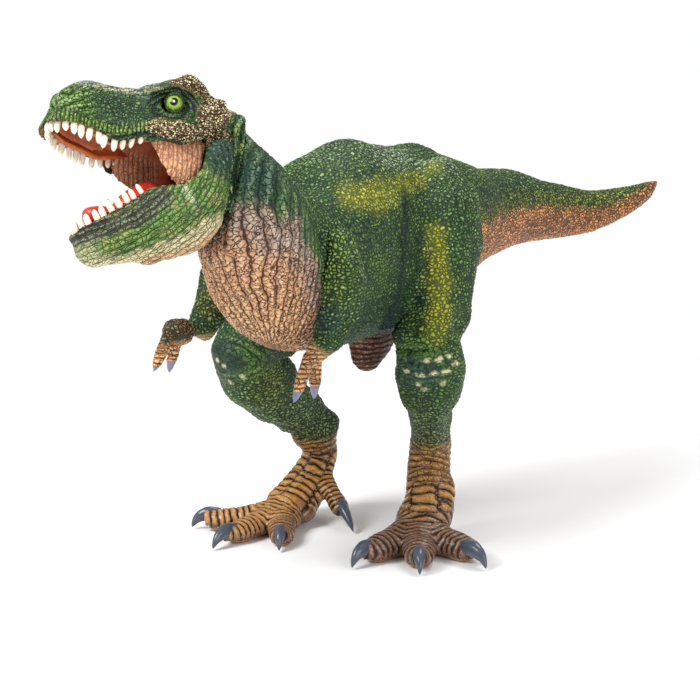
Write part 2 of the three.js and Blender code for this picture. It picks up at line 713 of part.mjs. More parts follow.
function skull() {
  const skullOptions = { sides: 20, steps: 1, square: [2.5, 7], flareShare: -0.06, capShares: [0, 0.35] };
  let solid = solidOf(headLoft(skullShares, skullOptions));
  for (const side of [1, -1]) solid = solid.add(solidOf(brow(side)));
  solid = solid.add(solidOf(hingeBlock()));
  const behindSeam = block(
    place(-headLength, neckSeam - fit, -headLength), place(headLength, headLength, headLength));
  solid = solid.subtract(solidOf(behindSeam));
  solid = solid.subtract(liningLoft(fit)).subtract(mouthHollow());
  solid = solid.subtract(solidOf(gumStrip(upperRowShares, -1, true)));
  solid = solid.subtract(solidOf(pin(fit)));
  for (const side of [1, -1]) solid = solid.subtract(solidOf(eyeball(side, fit)));
  return solid.add(solidOf(neckPeg(0)));
}

// The lower jaw in its own frame, as if the mouth were shut: ahead, half width, top, bottom.
const jawShares = [
  [-0.064, 0.76, 0.11, -0.15],
  [0.00, 0.79, 0.17, -0.42],
  [0.06, 0.80, 0.13, -0.63],
  [0.12, 0.80, -0.03, -0.78],
  [0.18, 0.79, -0.09, -0.90],
  [0.26, 0.74, -0.095, -0.97],
  [0.34, 0.640, 0.02, -0.96],
  [0.42, 0.500, 0.09, -0.90],
  [0.52, 0.440, 0.085, -0.80],
  [0.62, 0.400, 0.085, -0.66],
  [0.72, 0.350, 0.09, -0.55],
  [0.80, 0.270, 0.09, -0.47],
  [0.845, 0.170, 0.05, -0.38],
];
const troughShares = [
  [-0.24, 0.67, 0.6, -1.1],
  [0.08, 0.67, 0.6, -1.1],
  [0.17, 0.665, 0.6, -0.82],
  [0.26, 0.62, 0.6, -0.70],
  [0.34, 0.535, 0.6, -0.56],
  [0.42, 0.335, 0.6, -0.45],
  [0.52, 0.275, 0.6, -0.35],
  [0.62, 0.235, 0.6, -0.27],
  [0.72, 0.180, 0.6, -0.20],
  [0.78, 0.100, 0.6, -0.13],
];

function lowerJaw() {
  const jawOptions = { sides: 20, steps: 1, square: [7, 2.4], flareShare: 0.04, capShares: [0.5, 0.3] };
  let solid = solidOf(headLoft(jawShares, jawOptions));
  solid = solid.subtract(solidOf(headLoft(troughShares, { sides: 12, steps: 1, square: [4, 4], capShares: [0, 0.3] })));
  solid = solid.subtract(solidOf(gumStrip(lowerRowShares, 1, true)));
  return solid.subtract(solidOf(pin(fit)));
}

const tongueShares = [
  [0.30, 0.33, -0.08, -0.58],
  [0.36, 0.32, 0.08, -0.46],
  [0.46, 0.27, 0.13, -0.34],
  [0.56, 0.215, 0.16, -0.26],
  [0.64, 0.17, 0.20, -0.14],
  [0.70, 0.12, 0.235, 0.09],
];
const tongue = () => solidOf(headLoft(tongueShares, { sides: 10, steps: 1, square: [2.4, 3], capShares: [0.1, 0.6] }));

function meshOf(name, solid, finish) {
  const mesh = new THREE.Mesh(geometryOf(solid), new THREE.MeshStandardMaterial(finishes[finish]));
  mesh.name = name;
  return mesh;
}

const jawGroup = new THREE.Group();
jawGroup.rotation.x = THREE.MathUtils.degToRad(gape);
jawGroup.add(
  meshOf('lower_jaw', lowerJaw(), 'jaw'),
  meshOf('lower_teeth', toothRow(lowerRowShares, lowerToothLength, 1), 'teeth'),
  meshOf('tongue', tongue(), 'tongue'),
);

headGroup.add(
  meshOf('head', skull(), 'skull'),
  meshOf('mouth_lining', lining(), 'lining'),
  meshOf('upper_teeth', toothRow(upperRowShares, upperToothLength, -1), 'teeth'),
  meshOf('jaw_pin', solidOf(pin(0)), 'pin'),
  meshOf('left_eye', solidOf(eyeball(1, 0)), 'eye'),
  meshOf('right_eye', solidOf(eyeball(-1, 0)), 'eye'),
  jawGroup,
);

const figure = new THREE.Group();
figure.add(
  meshOf('torso', torso(), 'skin'),
  meshOf('tail', tail(), 'skin'),
  meshOf('left_leg', leg(leftLegShares, leftFoot, 1), 'limb'),
  meshOf('right_leg', leg(rightLegShares, rightFoot, -1), 'limb'),
  meshOf('left_arm', arm('left', 1), 'limb'),
  meshOf('right_arm', arm('right', -1), 'limb'),
  headGroup,
);

// The origin is on the ground, under the middle of the figure's box.
figure.updateMatrixWorld(true);
const box = new THREE.Box3().setFromObject(figure, true);
const middle = box.getCenter(new THREE.Vector3());
figure.position.set(-middle.x, -middle.y, -box.min.z);

export default figure;
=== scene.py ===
# %% [markdown]
# A moulded toy dinosaur. The real figure is soft plastic from steel moulds, airbrushed in green over tan,
# then washed with a dark colour that stays in the creases and dry-brushed with a pale one that stays on
# the scales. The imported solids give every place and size. This lesson grows a fine skin over each of
# them, presses scales and folds into it, and paints it in the same order as the factory does.

# %% Load the frame
import json
import math

import bmesh
import bpy
import numpy as np
from mathutils import Matrix, Vector
from mathutils.bvhtree import BVHTree


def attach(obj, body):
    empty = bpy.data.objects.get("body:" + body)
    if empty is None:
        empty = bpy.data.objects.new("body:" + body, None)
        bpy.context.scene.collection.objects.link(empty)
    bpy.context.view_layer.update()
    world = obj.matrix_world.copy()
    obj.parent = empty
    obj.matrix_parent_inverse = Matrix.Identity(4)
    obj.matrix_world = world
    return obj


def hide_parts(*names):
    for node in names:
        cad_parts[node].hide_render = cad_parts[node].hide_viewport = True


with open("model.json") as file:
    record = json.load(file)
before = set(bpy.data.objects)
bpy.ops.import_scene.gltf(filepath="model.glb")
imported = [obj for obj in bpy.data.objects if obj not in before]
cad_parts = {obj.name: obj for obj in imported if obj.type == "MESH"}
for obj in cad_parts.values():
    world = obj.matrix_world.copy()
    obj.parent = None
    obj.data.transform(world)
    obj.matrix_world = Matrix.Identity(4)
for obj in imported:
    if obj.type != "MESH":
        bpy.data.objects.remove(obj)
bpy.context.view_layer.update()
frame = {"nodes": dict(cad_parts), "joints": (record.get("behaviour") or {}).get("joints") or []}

scene = bpy.context.scene
MM = 0.001
print("frame loaded:", len(frame["nodes"]), "nodes")

# %% [markdown]
# Places are easiest to give in millimetres from the hips, with the ground at zero. The jaw hinge is a
# place that the frame knows, so the whole map hangs on it. The head has a map of its own, with its
# origin in the hinge, the snout toward -Y and the hinge pin along X.

# %% Two maps: the hips' and the head's
hinge = Vector(frame["joints"][0]["pos_m"]) / MM
hips = hinge - Vector((-3.5, -90.0, 121.9))
turn = (Matrix.Rotation(math.radians(-42), 4, "Z") @ Matrix.Rotation(math.radians(-16), 4, "X")
        @ Matrix.Rotation(math.radians(-18), 4, "Y"))
gape = Matrix.Rotation(math.radians(43), 4, "X")
head_map = Matrix.Translation(hinge) @ turn
jaw_map = head_map @ gape


def spot(x, y, z):
    """A place in metres from millimetres off the hips' ground point."""
    return (Vector((x, y, z)) + hips) * MM


def points_of(mesh):
    flat = np.empty(len(mesh.vertices) * 3, np.float32)
    mesh.vertices.foreach_get("co", flat)
    return flat.reshape(-1, 3).astype(float)


def normals_of(mesh):
    flat = np.empty(len(mesh.vertices) * 3, np.float32)
    mesh.vertex_normals.foreach_get("vector", flat)
    return flat.reshape(-1, 3).astype(float)


def mapped(points, matrix):
    """Points in metres, seen in a map whose matrix is in millimetres."""
    inverse = np.array(matrix.inverted())
    return (points / MM) @ inverse[:3, :3].T + inverse[:3, 3]


print("hinge at", tuple(round(v, 1) for v in hinge), "mm")

# %% [markdown]
# The camera looks a little down on the figure from its front left. It comes early, because every later
# cell is judged through it.

# %% Camera
def linked(name, data):
    """An object for a mesh, curve, lamp or camera, linked to the scene."""
    made = bpy.data.objects.new(name, data)
    scene.collection.objects.link(made)
    return made


aim = spot(14, -43, 64)
azimuth, elevation, far = math.radians(30), math.radians(12), 0.720
back = Vector((math.sin(azimuth) * math.cos(elevation), -math.cos(azimuth) * math.cos(elevation),
               math.sin(elevation)))
lens = bpy.data.cameras.new("camera")
lens.sensor_width = 36.0
lens.lens = 132.2
lens.clip_start, lens.clip_end = 0.01, 30
camera = linked("camera", lens)
camera.location = aim + back * far
camera.rotation_mode = "QUATERNION"
camera.rotation_quaternion = (-back).to_track_quat("-Z", "Y")
scene.camera = camera
print("camera", round(far, 2), "m away")

# %% [markdown]
# Node trees are easier to read when one helper makes a node, sets it and wires it. A value is typed in,
# and a socket is linked. The same helper fills shader trees and geometry trees, because both know the
# same noise, Voronoi and math nodes.

# %% A helper for nodes
def add(tree, kind, inputs=None, **settings):
    node = tree.nodes.new(kind)
    for key, value in settings.items():
        setattr(node, key, value)
    for key, value in (inputs or {}).items():
        if isinstance(value, bpy.types.NodeSocket):
            tree.links.new(value, node.inputs[key])
        else:
            node.inputs[key].default_value = value
    return node


def sums(tree, operation, first, second=0.0, third=0.0):
    """One math node; only a multiply-add takes a third value."""
    values = {0: first, 1: second}
    if operation == "MULTIPLY_ADD":
        values[2] = third
    return add(tree, "ShaderNodeMath", values, operation=operation).outputs[0]


def ramp(tree, value, low, high, to_low=0.0, to_high=1.0):
    """A smooth step of a value from low to high."""
    node = add(tree, "ShaderNodeMapRange", {"Value": value, "From Min": low, "From Max": high,
                                            "To Min": to_low, "To Max": to_high},
               interpolation_type="SMOOTHSTEP")
    return node.outputs[0]


def linear(red, green, blue):
    """A colour as a paint chart gives it, 0 to 255, made linear for the renderer."""
    share = [v / 255 for v in (red, green, blue)]
    return [v / 12.92 if v <= 0.04045 else ((v + 0.055) / 1.055) ** 2.4 for v in share]


print("node helpers ready")

# %% [markdown]
# The relief of the skin is one recipe with four patterns. Scales are domed Voronoi cells a little over
# 1 mm across. Folds are creases that lie at every whole number of a run, which each skin carries on its
# points, and noise makes them meander, break off and crack across. Rings use the same run without the
# meander, for the broad scutes of the feet. Rough bone is an uneven pebble. The recipe is written once
# and fills two groups: a geometry group that moves the real surface, and a shader group that keeps the
# same pattern crisp in the paint.

# %% The relief recipe
DOME_HEIGHT, PILLOW_HEIGHT, SCUTE_HEIGHT, KNOB_HEIGHT = 0.3, 0.4, 0.6, 0.45


def fill_relief(tree):
    face = tree.interface
    for name, kind in (("Mould", "Vector"), ("Grid", "Vector"), ("Scales", "Float"), ("Folds", "Float"),
                       ("Rings", "Float"), ("Rough", "Float")):
        face.new_socket(name, in_out="INPUT", socket_type="NodeSocket" + kind)
    for name in ("Height", "Crease", "Crest"):
        face.new_socket(name, in_out="OUTPUT", socket_type="NodeSocketFloat")
    given = tree.nodes.new("NodeGroupInput").outputs
    place = given["Mould"]
    waver = add(tree, "ShaderNodeTexNoise", {"Vector": place, "Scale": 0.3, "Detail": 2.0}).outputs[1]
    shift = add(tree, "ShaderNodeVectorMath", {0: waver, 1: (0.5, 0.5, 0.5)}, operation="SUBTRACT").outputs[0]
    moved = add(tree, "ShaderNodeVectorMath", {0: shift, 1: (2.2, 2.2, 2.2), 2: place},
                operation="MULTIPLY_ADD").outputs[0]
    sway = add(tree, "ShaderNodeSeparateXYZ", {0: shift}).outputs

    flat = add(tree, "ShaderNodeVectorMath", {0: moved, 1: (0.94, 0.94, 1.2)}, operation="MULTIPLY").outputs[0]

    def cells(scale, uneven, feature, output):
        return add(tree, "ShaderNodeTexVoronoi", {"Vector": flat, "Scale": scale, "Randomness": uneven},
                   feature=feature).outputs[output]

    def wander(scale, detail):
        noise = add(tree, "ShaderNodeTexNoise", {"Vector": place, "Scale": scale, "Detail": detail}).outputs[0]
        return sums(tree, "SUBTRACT", noise, 0.5)

    def wave(run):
        """Zero at every whole number and one half way between."""
        return sums(tree, "ABSOLUTE", sums(tree, "SINE", sums(tree, "MULTIPLY", run, math.pi)))

    # Scales
    edge = cells(0.84, 0.7, "DISTANCE_TO_EDGE", "Distance")
    grade = add(tree, "ShaderNodeSeparateXYZ", {0: cells(0.84, 0.7, "F1", "Color")}).outputs[0]
    dome = ramp(tree, edge, 0.0, 0.4)
    # Folds: a long set of creases, a finer set between them and short cracks across
    cell = add(tree, "ShaderNodeSeparateXYZ", {0: given["Grid"]}).outputs
    bent = sums(tree, "MULTIPLY_ADD", wander(0.06, 1.0), 1.5, sums(tree, "MULTIPLY_ADD", sway[0], 0.8, cell[2]))
    swell = wave(bent)
    hold = ramp(tree, wander(0.17, 2.0), -0.2, 0.0, 0.5, 1.0)
    long_crease = sums(tree, "MULTIPLY", ramp(tree, swell, 0.0, 0.4, 1.0, 0.0), hold)
    finer = sums(tree, "MULTIPLY_ADD", bent, 1.83, sums(tree, "MULTIPLY_ADD", sway[1], 3.2, 0.37))
    short_crease = sums(tree, "MULTIPLY", ramp(tree, wave(finer), 0.0, 0.42, 0.8, 0.0),
                        ramp(tree, sway[2], -0.10, 0.10))
    crack = ramp(tree, cells(0.6, 1.0, "DISTANCE_TO_EDGE", "Distance"), 0.0, 0.1, 0.7, 0.0)
    groove = sums(tree, "MAXIMUM", sums(tree, "MAXIMUM", long_crease, short_crease), crack)
    pillow = sums(tree, "MULTIPLY", sums(tree, "SUBTRACT", 1.0, groove), ramp(tree, swell, 0.1, 1.0, 0.55, 1.0))
    # Rings of scutes, in columns where the grid has an angle to give
    angle = sums(tree, "ARCTAN2", cell[1], cell[0])
    column = sums(tree, "MULTIPLY_ADD", angle, 5 / (2 * math.pi), 0.35)
    columned = ramp(tree, sums(tree, "MAXIMUM", sums(tree, "ABSOLUTE", cell[0]), sums(tree, "ABSOLUTE", cell[1])),
                    0.45, 0.68)
    joint = sums(tree, "ABSOLUTE", sums(tree, "COSINE", sums(tree, "MULTIPLY", column, math.pi)))
    joint = sums(tree, "MAXIMUM", ramp(tree, joint, 0.0, 0.3), sums(tree, "SUBTRACT", 1.0, columned))
    stagger = sums(tree, "MULTIPLY", sums(tree, "FLOOR", sums(tree, "ADD", column, 0.5)), 0.4)
    stepped = sums(tree, "MULTIPLY_ADD", stagger, columned, cell[2])
    arch = wave(sums(tree, "MULTIPLY_ADD", sway[0], 0.8, stepped))
    scute = sums(tree, "MULTIPLY", ramp(tree, arch, 0.05, 0.6), joint)
    # Rough bone
    pebble = cells(1.3, 1.0, "DISTANCE_TO_EDGE", "Distance")
    chip = add(tree, "ShaderNodeSeparateXYZ", {0: cells(1.3, 1.0, "F1", "Color")}).outputs[1]
    knob = sums(tree, "MULTIPLY", ramp(tree, pebble, 0.02, 0.22), ramp(tree, chip, 0.1, 0.5, 0.3, 1.0))
    # All four, in millimetres
    height = sums(tree, "MULTIPLY", given["Scales"], sums(tree, "MULTIPLY", dome, DOME_HEIGHT))
    height = sums(tree, "MULTIPLY_ADD", given["Folds"], sums(tree, "MULTIPLY", pillow, PILLOW_HEIGHT), height)
    height = sums(tree, "MULTIPLY_ADD", given["Rings"], sums(tree, "MULTIPLY", scute, SCUTE_HEIGHT), height)
    height = sums(tree, "MULTIPLY_ADD", given["Rough"], sums(tree, "MULTIPLY", knob, KNOB_HEIGHT), height)
    low = sums(tree, "MULTIPLY", given["Scales"], ramp(tree, edge, 0.0, 0.3, 0.85, 0.0))
    low = sums(tree, "MULTIPLY_ADD", given["Folds"], groove, low)
    low = sums(tree, "MULTIPLY_ADD", given["Rings"], sums(tree, "SUBTRACT", 1.0, scute), low)
    low = sums(tree, "MULTIPLY_ADD", given["Rough"], sums(tree, "SUBTRACT", 1.0, knob), low)
    top = sums(tree, "MULTIPLY", ramp(tree, edge, 0.14, 0.42), ramp(tree, grade, 0.1, 0.8, 0.3, 1.0))
    top = sums(tree, "MULTIPLY", top, given["Scales"])
    ridge = sums(tree, "MULTIPLY", sums(tree, "MULTIPLY", ramp(tree, swell, 0.55, 1.0), 0.8),
                 sums(tree, "SUBTRACT", 1.0, groove))
    top = sums(tree, "MULTIPLY_ADD", given["Folds"], ridge, top)
    top = sums(tree, "MULTIPLY_ADD", given["Rings"], sums(tree, "MULTIPLY", ramp(tree, arch, 0.7, 1.0), 0.75), top)
    top = sums(tree, "MULTIPLY_ADD", given["Rough"], ramp(tree, knob, 0.4, 0.9), top)
    end = tree.nodes.new("NodeGroupOutput")
    for name, socket in (("Height", height), ("Crease", low), ("Crest", top)):
        tree.links.new(socket, end.inputs[name])


relief_in_geometry = bpy.data.node_groups.new("skin relief, geometry", "GeometryNodeTree")
relief_in_paint = bpy.data.node_groups.new("skin relief, paint", "ShaderNodeTree")
fill_relief(relief_in_geometry)
fill_relief(relief_in_paint)
print("relief recipe:", len(relief_in_paint.nodes), "nodes")

# %% [markdown]
# The geometry tree reads what each skin carries on its points and moves them out along their normals.
# A fixed part of the height is taken off again, so that the skin keeps the size of the solid.

# %% Relief on the surface
PATTERNS = (("mould", "FLOAT_VECTOR", "Mould"), ("grid", "FLOAT_VECTOR", "Grid"),
            ("scales", "FLOAT", "Scales"), ("folds", "FLOAT", "Folds"), ("rings", "FLOAT", "Rings"),
            ("rough", "FLOAT", "Rough"))
MEAN_HEIGHT = 0.13
emboss = bpy.data.node_groups.new("emboss", "GeometryNodeTree")
emboss.interface.new_socket("Geometry", in_out="INPUT", socket_type="NodeSocketGeometry")
emboss.interface.new_socket("Geometry", in_out="OUTPUT", socket_type="NodeSocketGeometry")
emboss_relief = add(emboss, "GeometryNodeGroup", node_tree=relief_in_geometry)
for carried, kind, socket in PATTERNS:
    reader = add(emboss, "GeometryNodeInputNamedAttribute", {"Name": carried}, data_type=kind)
    emboss.links.new(reader.outputs["Attribute"], emboss_relief.inputs[socket])
deep = add(emboss, "GeometryNodeInputNamedAttribute", {"Name": "deep"}, data_type="FLOAT")
raised = sums(emboss, "SUBTRACT", emboss_relief.outputs["Height"], MEAN_HEIGHT)
raised = sums(emboss, "MULTIPLY", raised, deep.outputs["Attribute"])
raised = sums(emboss, "MULTIPLY", raised, MM)
along_normal = add(emboss, "ShaderNodeVectorMath", {0: emboss.nodes.new("GeometryNodeInputNormal").outputs[0]},
                   operation="SCALE")
emboss.links.new(raised, along_normal.inputs["Scale"])
mover = add(emboss, "GeometryNodeSetPosition", {"Offset": along_normal.outputs[0]})
emboss.links.new(emboss.nodes.new("NodeGroupInput").outputs[0], mover.inputs["Geometry"])
emboss.links.new(mover.outputs[0], emboss.nodes.new("NodeGroupOutput").inputs[0])
print("emboss tree:", len(emboss.nodes), "nodes")

# %% [markdown]
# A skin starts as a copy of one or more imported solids. Voxel remeshing melts them into one even mesh,
# smoothing takes the facets off, and one subdivision makes the points close enough to carry scales.
# Small hollows that get trapped inside, such as the peg sockets, are deleted as loose islands.

# %% Growing a skin
def mesh_from(name, form):
    """Turns an edit mesh into a mesh of the file."""
    mesh = bpy.data.meshes.new(name)
    form.to_mesh(mesh)
    form.free()
    return mesh


def settled(piece):
    """Applies a piece's modifiers to its mesh."""
    bpy.context.view_layer.update()
    graph = bpy.context.evaluated_depsgraph_get()
    made = bpy.data.meshes.new_from_object(piece.evaluated_get(graph))
    piece.modifiers.clear()
    spent, piece.data = piece.data, made
    bpy.data.meshes.remove(spent)
    made.name = piece.name
    return piece


def largest_island(mesh):
    """Deletes every part of a mesh that does not hang together with the largest one."""
    form = bmesh.new()
    form.from_mesh(mesh)
    unseen, best = set(form.verts), []
    while unseen:
        seed = next(iter(unseen))
        island, fringe = {seed}, [seed]
        while fringe:
            for edge in fringe.pop().link_edges:
                for vert in edge.verts:
                    if vert not in island:
                        island.add(vert)
                        fringe.append(vert)
        unseen -= island
        if len(island) > len(best):
            best = island
    bmesh.ops.delete(form, geom=[v for v in form.verts if v not in best], context="VERTS")
    form.to_mesh(mesh)
    form.free()


def grown(name, nodes, voxel, smooth, finer=1):
    """One even skin over the named solids: voxel size in millimetres, then rounds of smoothing and halving."""
    form = bmesh.new()
    for node in nodes:
        form.from_mesh(frame["nodes"][node].data)
    bmesh.ops.remove_doubles(form, verts=form.verts[:], dist=0.01 * MM)
    piece = linked(name, mesh_from(name, form))
    remesh = piece.modifiers.new("even", "REMESH")
    remesh.mode = "VOXEL"
    remesh.voxel_size = voxel * MM
    settled(piece)
    largest_island(piece.data)
    softer = piece.modifiers.new("soft", "SMOOTH")
    softer.iterations = smooth
    softer.factor = 0.5
    if finer:
        split = piece.modifiers.new("finer", "SUBSURF")
        split.levels = split.render_levels = finer
    settled(piece)
    print(name, len(piece.data.polygons), "faces")
    return piece


# %% [markdown]
# Paint and pattern masks are plain sums over the points of a skin. `soft` is a smooth step, `blob` is
# a puff of the airbrush, and `ripple` is a slow, seeded wander that keeps edges from looking ruled.
# A chain is a bent line through a limb. It gives each point its place along the limb and its angle
# round it, which is what the fold grid needs. Where both sides are alike, `folded` lays one on the other.

# %% Masks
def soft(value, low, high):
    share = np.clip((value - low) / (high - low), 0, 1)
    return share * share * (3 - 2 * share)


def reach_of(at, centre, radii):
    """How far each point is from a centre, in radii of an egg round it."""
    return np.sqrt((((at - np.array(centre)) / np.array(radii)) ** 2).sum(1))


def blob(at, centre, radii, core=0.35):
    return 1 - soft(reach_of(at, centre, radii), core, 1.0)


def folded(at):
    """The points with left and right laid on each other."""
    return np.stack([np.abs(at[:, 0]), at[:, 1], at[:, 2]], 1)


def ripple(at, length, seed):
    """Slow waves in all directions, about -1 to 1, that repeat nowhere near."""
    draw = np.random.default_rng(seed)
    total = np.zeros(len(at))
    for _ in range(7):
        way = draw.normal(size=3)
        way *= 2 * math.pi / length / np.linalg.norm(way) * draw.uniform(0.6, 1.7)
        total += np.sin(at @ way + draw.uniform(0, 2 * math.pi))
    return total / 3.2


def along_chain(at, chain, ahead=(0, -1, 0)):
    """Distance to a chain, place along it and angle round it, for every point."""
    joints = np.array(chain, float)
    best = np.full(len(at), 1e9)
    place = np.zeros(len(at))
    angle = np.zeros(len(at))
    walked = 0.0
    for first, last in zip(joints[:-1], joints[1:]):
        way = last - first
        length = np.linalg.norm(way)
        way = way / length
        share = np.clip((at - first) @ way, 0, length)
        off = at - first - share[:, None] * way
        apart = np.linalg.norm(off, axis=1)
        front = np.array(ahead) - np.dot(ahead, way) * way
        front /= np.linalg.norm(front)
        side = np.cross(way, front)
        nearer = apart < best
        best = np.where(nearer, apart, best)
        place = np.where(nearer, walked + share, place)
        angle = np.where(nearer, np.arctan2(off @ side, off @ front), angle)
        walked += length
    return best, place, angle


def ringed(run, angle=None, columns=1.0):
    """A grid for the relief: creases lie at every whole number of run, and scutes stand in columns."""
    if angle is None:
        return np.stack([np.full(len(run), 0.1), np.zeros(len(run)), run], 1)
    return np.stack([np.cos(angle) * columns, np.sin(angle) * columns, run], 1)


print("masks ready")

# %% [markdown]
# A coat holds what the points of one skin carry: three colours and the pattern masks. The paint colour
# is the airbrushed one, the wash is what settles in the creases, and the dry colour is what the nearly
# dry brush leaves on the crests. The shader lays both on strongly, so the wash also stands for painted
# shade in the creases and the dry colour for a painted highlight on the crests. `deep` says how far the
# relief stands out, `gloss` is the roughness of the finish, and a `grain` above 1 makes the pattern finer.

# %% Coats
GREEN = linear(74, 108, 50)
LEAF = linear(98, 132, 46)
DEEP = linear(36, 68, 46)
TEAL = linear(38, 74, 72)
MINT = linear(150, 172, 130)
OLIVE = linear(176, 172, 34)
TAN = linear(200, 148, 106)
PEACH = linear(228, 178, 126)
LILAC = linear(156, 134, 120)
OCHRE = linear(158, 108, 50)
UMBER = linear(82, 52, 38)
BROWN = linear(96, 62, 48)
CREAM = linear(232, 218, 176)
INK = linear(24, 42, 30)
SEPIA = linear(52, 28, 20)
LAYERS = ("paint", "wash", "dry")


class Coat:
    def __init__(self, mesh, matrix):
        self.mesh = mesh
        self.at = mapped(points_of(mesh), matrix)
        self.out = normals_of(mesh) @ np.array(matrix.to_3x3())
        count = len(self.at)
        self.paint = np.tile(np.array(GREEN), (count, 1))
        self.wash = np.tile(np.array(INK), (count, 1))
        self.dry = np.tile(np.array(MINT), (count, 1))
        self.grid = np.zeros((count, 3))
        self.scales = np.ones(count)
        self.folds = np.zeros(count)
        self.rings = np.zeros(count)
        self.rough = np.zeros(count)
        self.deep = np.ones(count)
        self.gloss = np.full(count, 0.42)
        self.grain = 1.0

    def spray(self, colour, share, layer="paint"):
        held = getattr(self, layer)
        held += (np.array(colour) - held) * np.clip(share, 0, 1)[:, None]

    def soak(self, colour, share):
        """One colour in all three layers, so that neither wash nor brush changes it."""
        for layer in LAYERS:
            self.spray(colour, share, layer)

    def glaze(self, share, *colours):
        """A paint, a wash and a dry colour, all by the same share."""
        for layer, colour in zip(LAYERS, colours):
            self.spray(linear(*colour), share, layer)

    def plain(self, paint, wash, dry, gloss, scales=0.0):
        """The same finish everywhere, for a part without a pattern of its own."""
        self.paint[:], self.wash[:], self.dry[:] = paint, wash, dry
        self.gloss[:] = gloss
        self.scales[:] = scales

    def fold(self, share, grid):
        """Turns scales into folds where share is high."""
        share = np.clip(share, 0, 1)
        self.grid = np.where((share > 0)[:, None], grid, self.grid)
        self.folds = np.maximum(self.folds, share)
        self.scales = np.minimum(self.scales, 1 - share)

    def write(self):
        """Stores everything on the points of the mesh."""
        carried = [("mould", "FLOAT_VECTOR", self.at * self.grain), ("grid", "FLOAT_VECTOR", self.grid)]
        carried += [(name, "FLOAT", getattr(self, name))
                    for name in ("scales", "folds", "rings", "rough", "deep", "gloss")]
        carried += [(name, "FLOAT_COLOR", getattr(self, name)) for name in LAYERS]
        for name, kind, values in carried:
            held = self.mesh.attributes.new(name, kind, "POINT")
            if kind == "FLOAT_VECTOR":
                held.data.foreach_set("vector", values.astype(np.float32).ravel())
            elif kind == "FLOAT":
                held.data.foreach_set("value", values.astype(np.float32))
            else:
                rgba = np.concatenate([values, np.ones((len(values), 1))], 1)
                held.data.foreach_set("color", rgba.astype(np.float32).ravel())


def embossed(piece):
    """Presses the relief that a piece carries into its mesh."""
    stage = piece.modifiers.new("relief", "NODES")
    stage.node_group = emboss
    settled(piece)
    for polygon in piece.data.polygons:
        polygon.use_smooth = True
    return piece


print("coats ready")

# %% [markdown]
# The painted skin is one material for every moulding. It reads the three colours from the skin, asks
# the relief group where the creases and crests are, and mixes wash and dry-brush over the airbrush;
# the wash also stands for painted shade in the creases, and the dry-brush for a painted highlight on the crests.
# A little noise breaks the brush work up.

# %% The painted skin
def carried_colour(tree, name):
    return add(tree, "ShaderNodeAttribute", attribute_name=name).outputs["Color"]


def carried_value(tree, name):
    return add(tree, "ShaderNodeAttribute", attribute_name=name).outputs["Fac"]


def mixed(tree, share, first, second):
    node = add(tree, "ShaderNodeMix", {0: share}, data_type="RGBA", blend_type="MIX")
    for index, value in ((6, first), (7, second)):
        if isinstance(value, bpy.types.NodeSocket):
            tree.links.new(value, node.inputs[index])
        else:
            node.inputs[index].default_value = (*value, 1)
    return node.outputs[2]


def painted_skin(name, coat_gloss, bump):
    material = bpy.data.materials.new(name)
    material.use_nodes = True
    tree = material.node_tree
    shader = tree.nodes["Principled BSDF"]
    mould = add(tree, "ShaderNodeAttribute", attribute_name="mould").outputs["Vector"]
    relief = add(tree, "ShaderNodeGroup", node_tree=relief_in_paint)
    tree.links.new(mould, relief.inputs["Mould"])
    tree.links.new(add(tree, "ShaderNodeAttribute", attribute_name="grid").outputs["Vector"],
                   relief.inputs["Grid"])
    for carried, _, socket in PATTERNS[2:]:
        tree.links.new(carried_value(tree, carried), relief.inputs[socket])
    broken = add(tree, "ShaderNodeTexNoise", {"Vector": mould, "Scale": 0.5, "Detail": 3.0}).outputs[0]
    specks = add(tree, "ShaderNodeTexNoise", {"Vector": mould, "Scale": 2.4, "Detail": 2.0}).outputs[0]
    mottled = mixed(tree, ramp(tree, broken, 0.42, 0.7, 0.0, 0.3), carried_colour(tree, "paint"),
                    carried_colour(tree, "wash"))
    # the crease wash is the figure's real wash and painted shade together; the crest brush is real dry-brush and a
    # painted highlight
    crease = sums(tree, "MULTIPLY", relief.outputs["Crease"], ramp(tree, broken, 0.25, 0.6, 0.8, 1.15))
    wash_and_crease_shade = mixed(tree, ramp(tree, crease, 0.05, 0.8, 0.0, 0.97), mottled, carried_colour(tree, "wash"))
    brush = sums(tree, "MULTIPLY", relief.outputs["Crest"], ramp(tree, specks, 0.35, 0.62, 0.3, 1.0))
    brush_and_crest_highlight = mixed(tree, ramp(tree, brush, 0.1, 0.85, 0.0, 0.85), wash_and_crease_shade, carried_colour(tree, "dry"))
    tree.links.new(brush_and_crest_highlight, shader.inputs["Base Color"])
    rough = sums(tree, "ADD", carried_value(tree, "gloss"), ramp(tree, specks, 0.3, 0.7, -0.05, 0.08))
    tree.links.new(rough, shader.inputs["Roughness"])
    grain = add(tree, "ShaderNodeTexNoise", {"Vector": mould, "Scale": 3.5, "Detail": 3.0}).outputs[0]
    lift = sums(tree, "MULTIPLY_ADD", grain, 0.05, relief.outputs["Height"])
    bumps = add(tree, "ShaderNodeBump", {"Strength": bump, "Distance": 1.3 * MM, "Height": lift})
    tree.links.new(bumps.outputs[0], shader.inputs["Normal"])
    shader.inputs["Specular IOR Level"].default_value = 0.25
    if coat_gloss is None:
        varnish = ramp(tree, carried_value(tree, "gloss"), 0.22, 0.38, 0.5, 0.0)
        tree.links.new(varnish, shader.inputs["Coat Weight"])
    else:
        shader.inputs["Coat Weight"].default_value = coat_gloss
    shader.inputs["Coat Roughness"].default_value = 0.3
    return material


skin_paint = painted_skin("airbrushed skin", coat_gloss=None, bump=0.9)
print("skin paint:", len(skin_paint.node_tree.nodes), "nodes")

# %% [markdown]
# A skin is sculpted before it is embossed. A push works like a soft brush that moves the skin out or in
# along its normal. A groove is a push along a bent line. A warp moves every point by a rule, for forms
# that have to slide and not only swell.

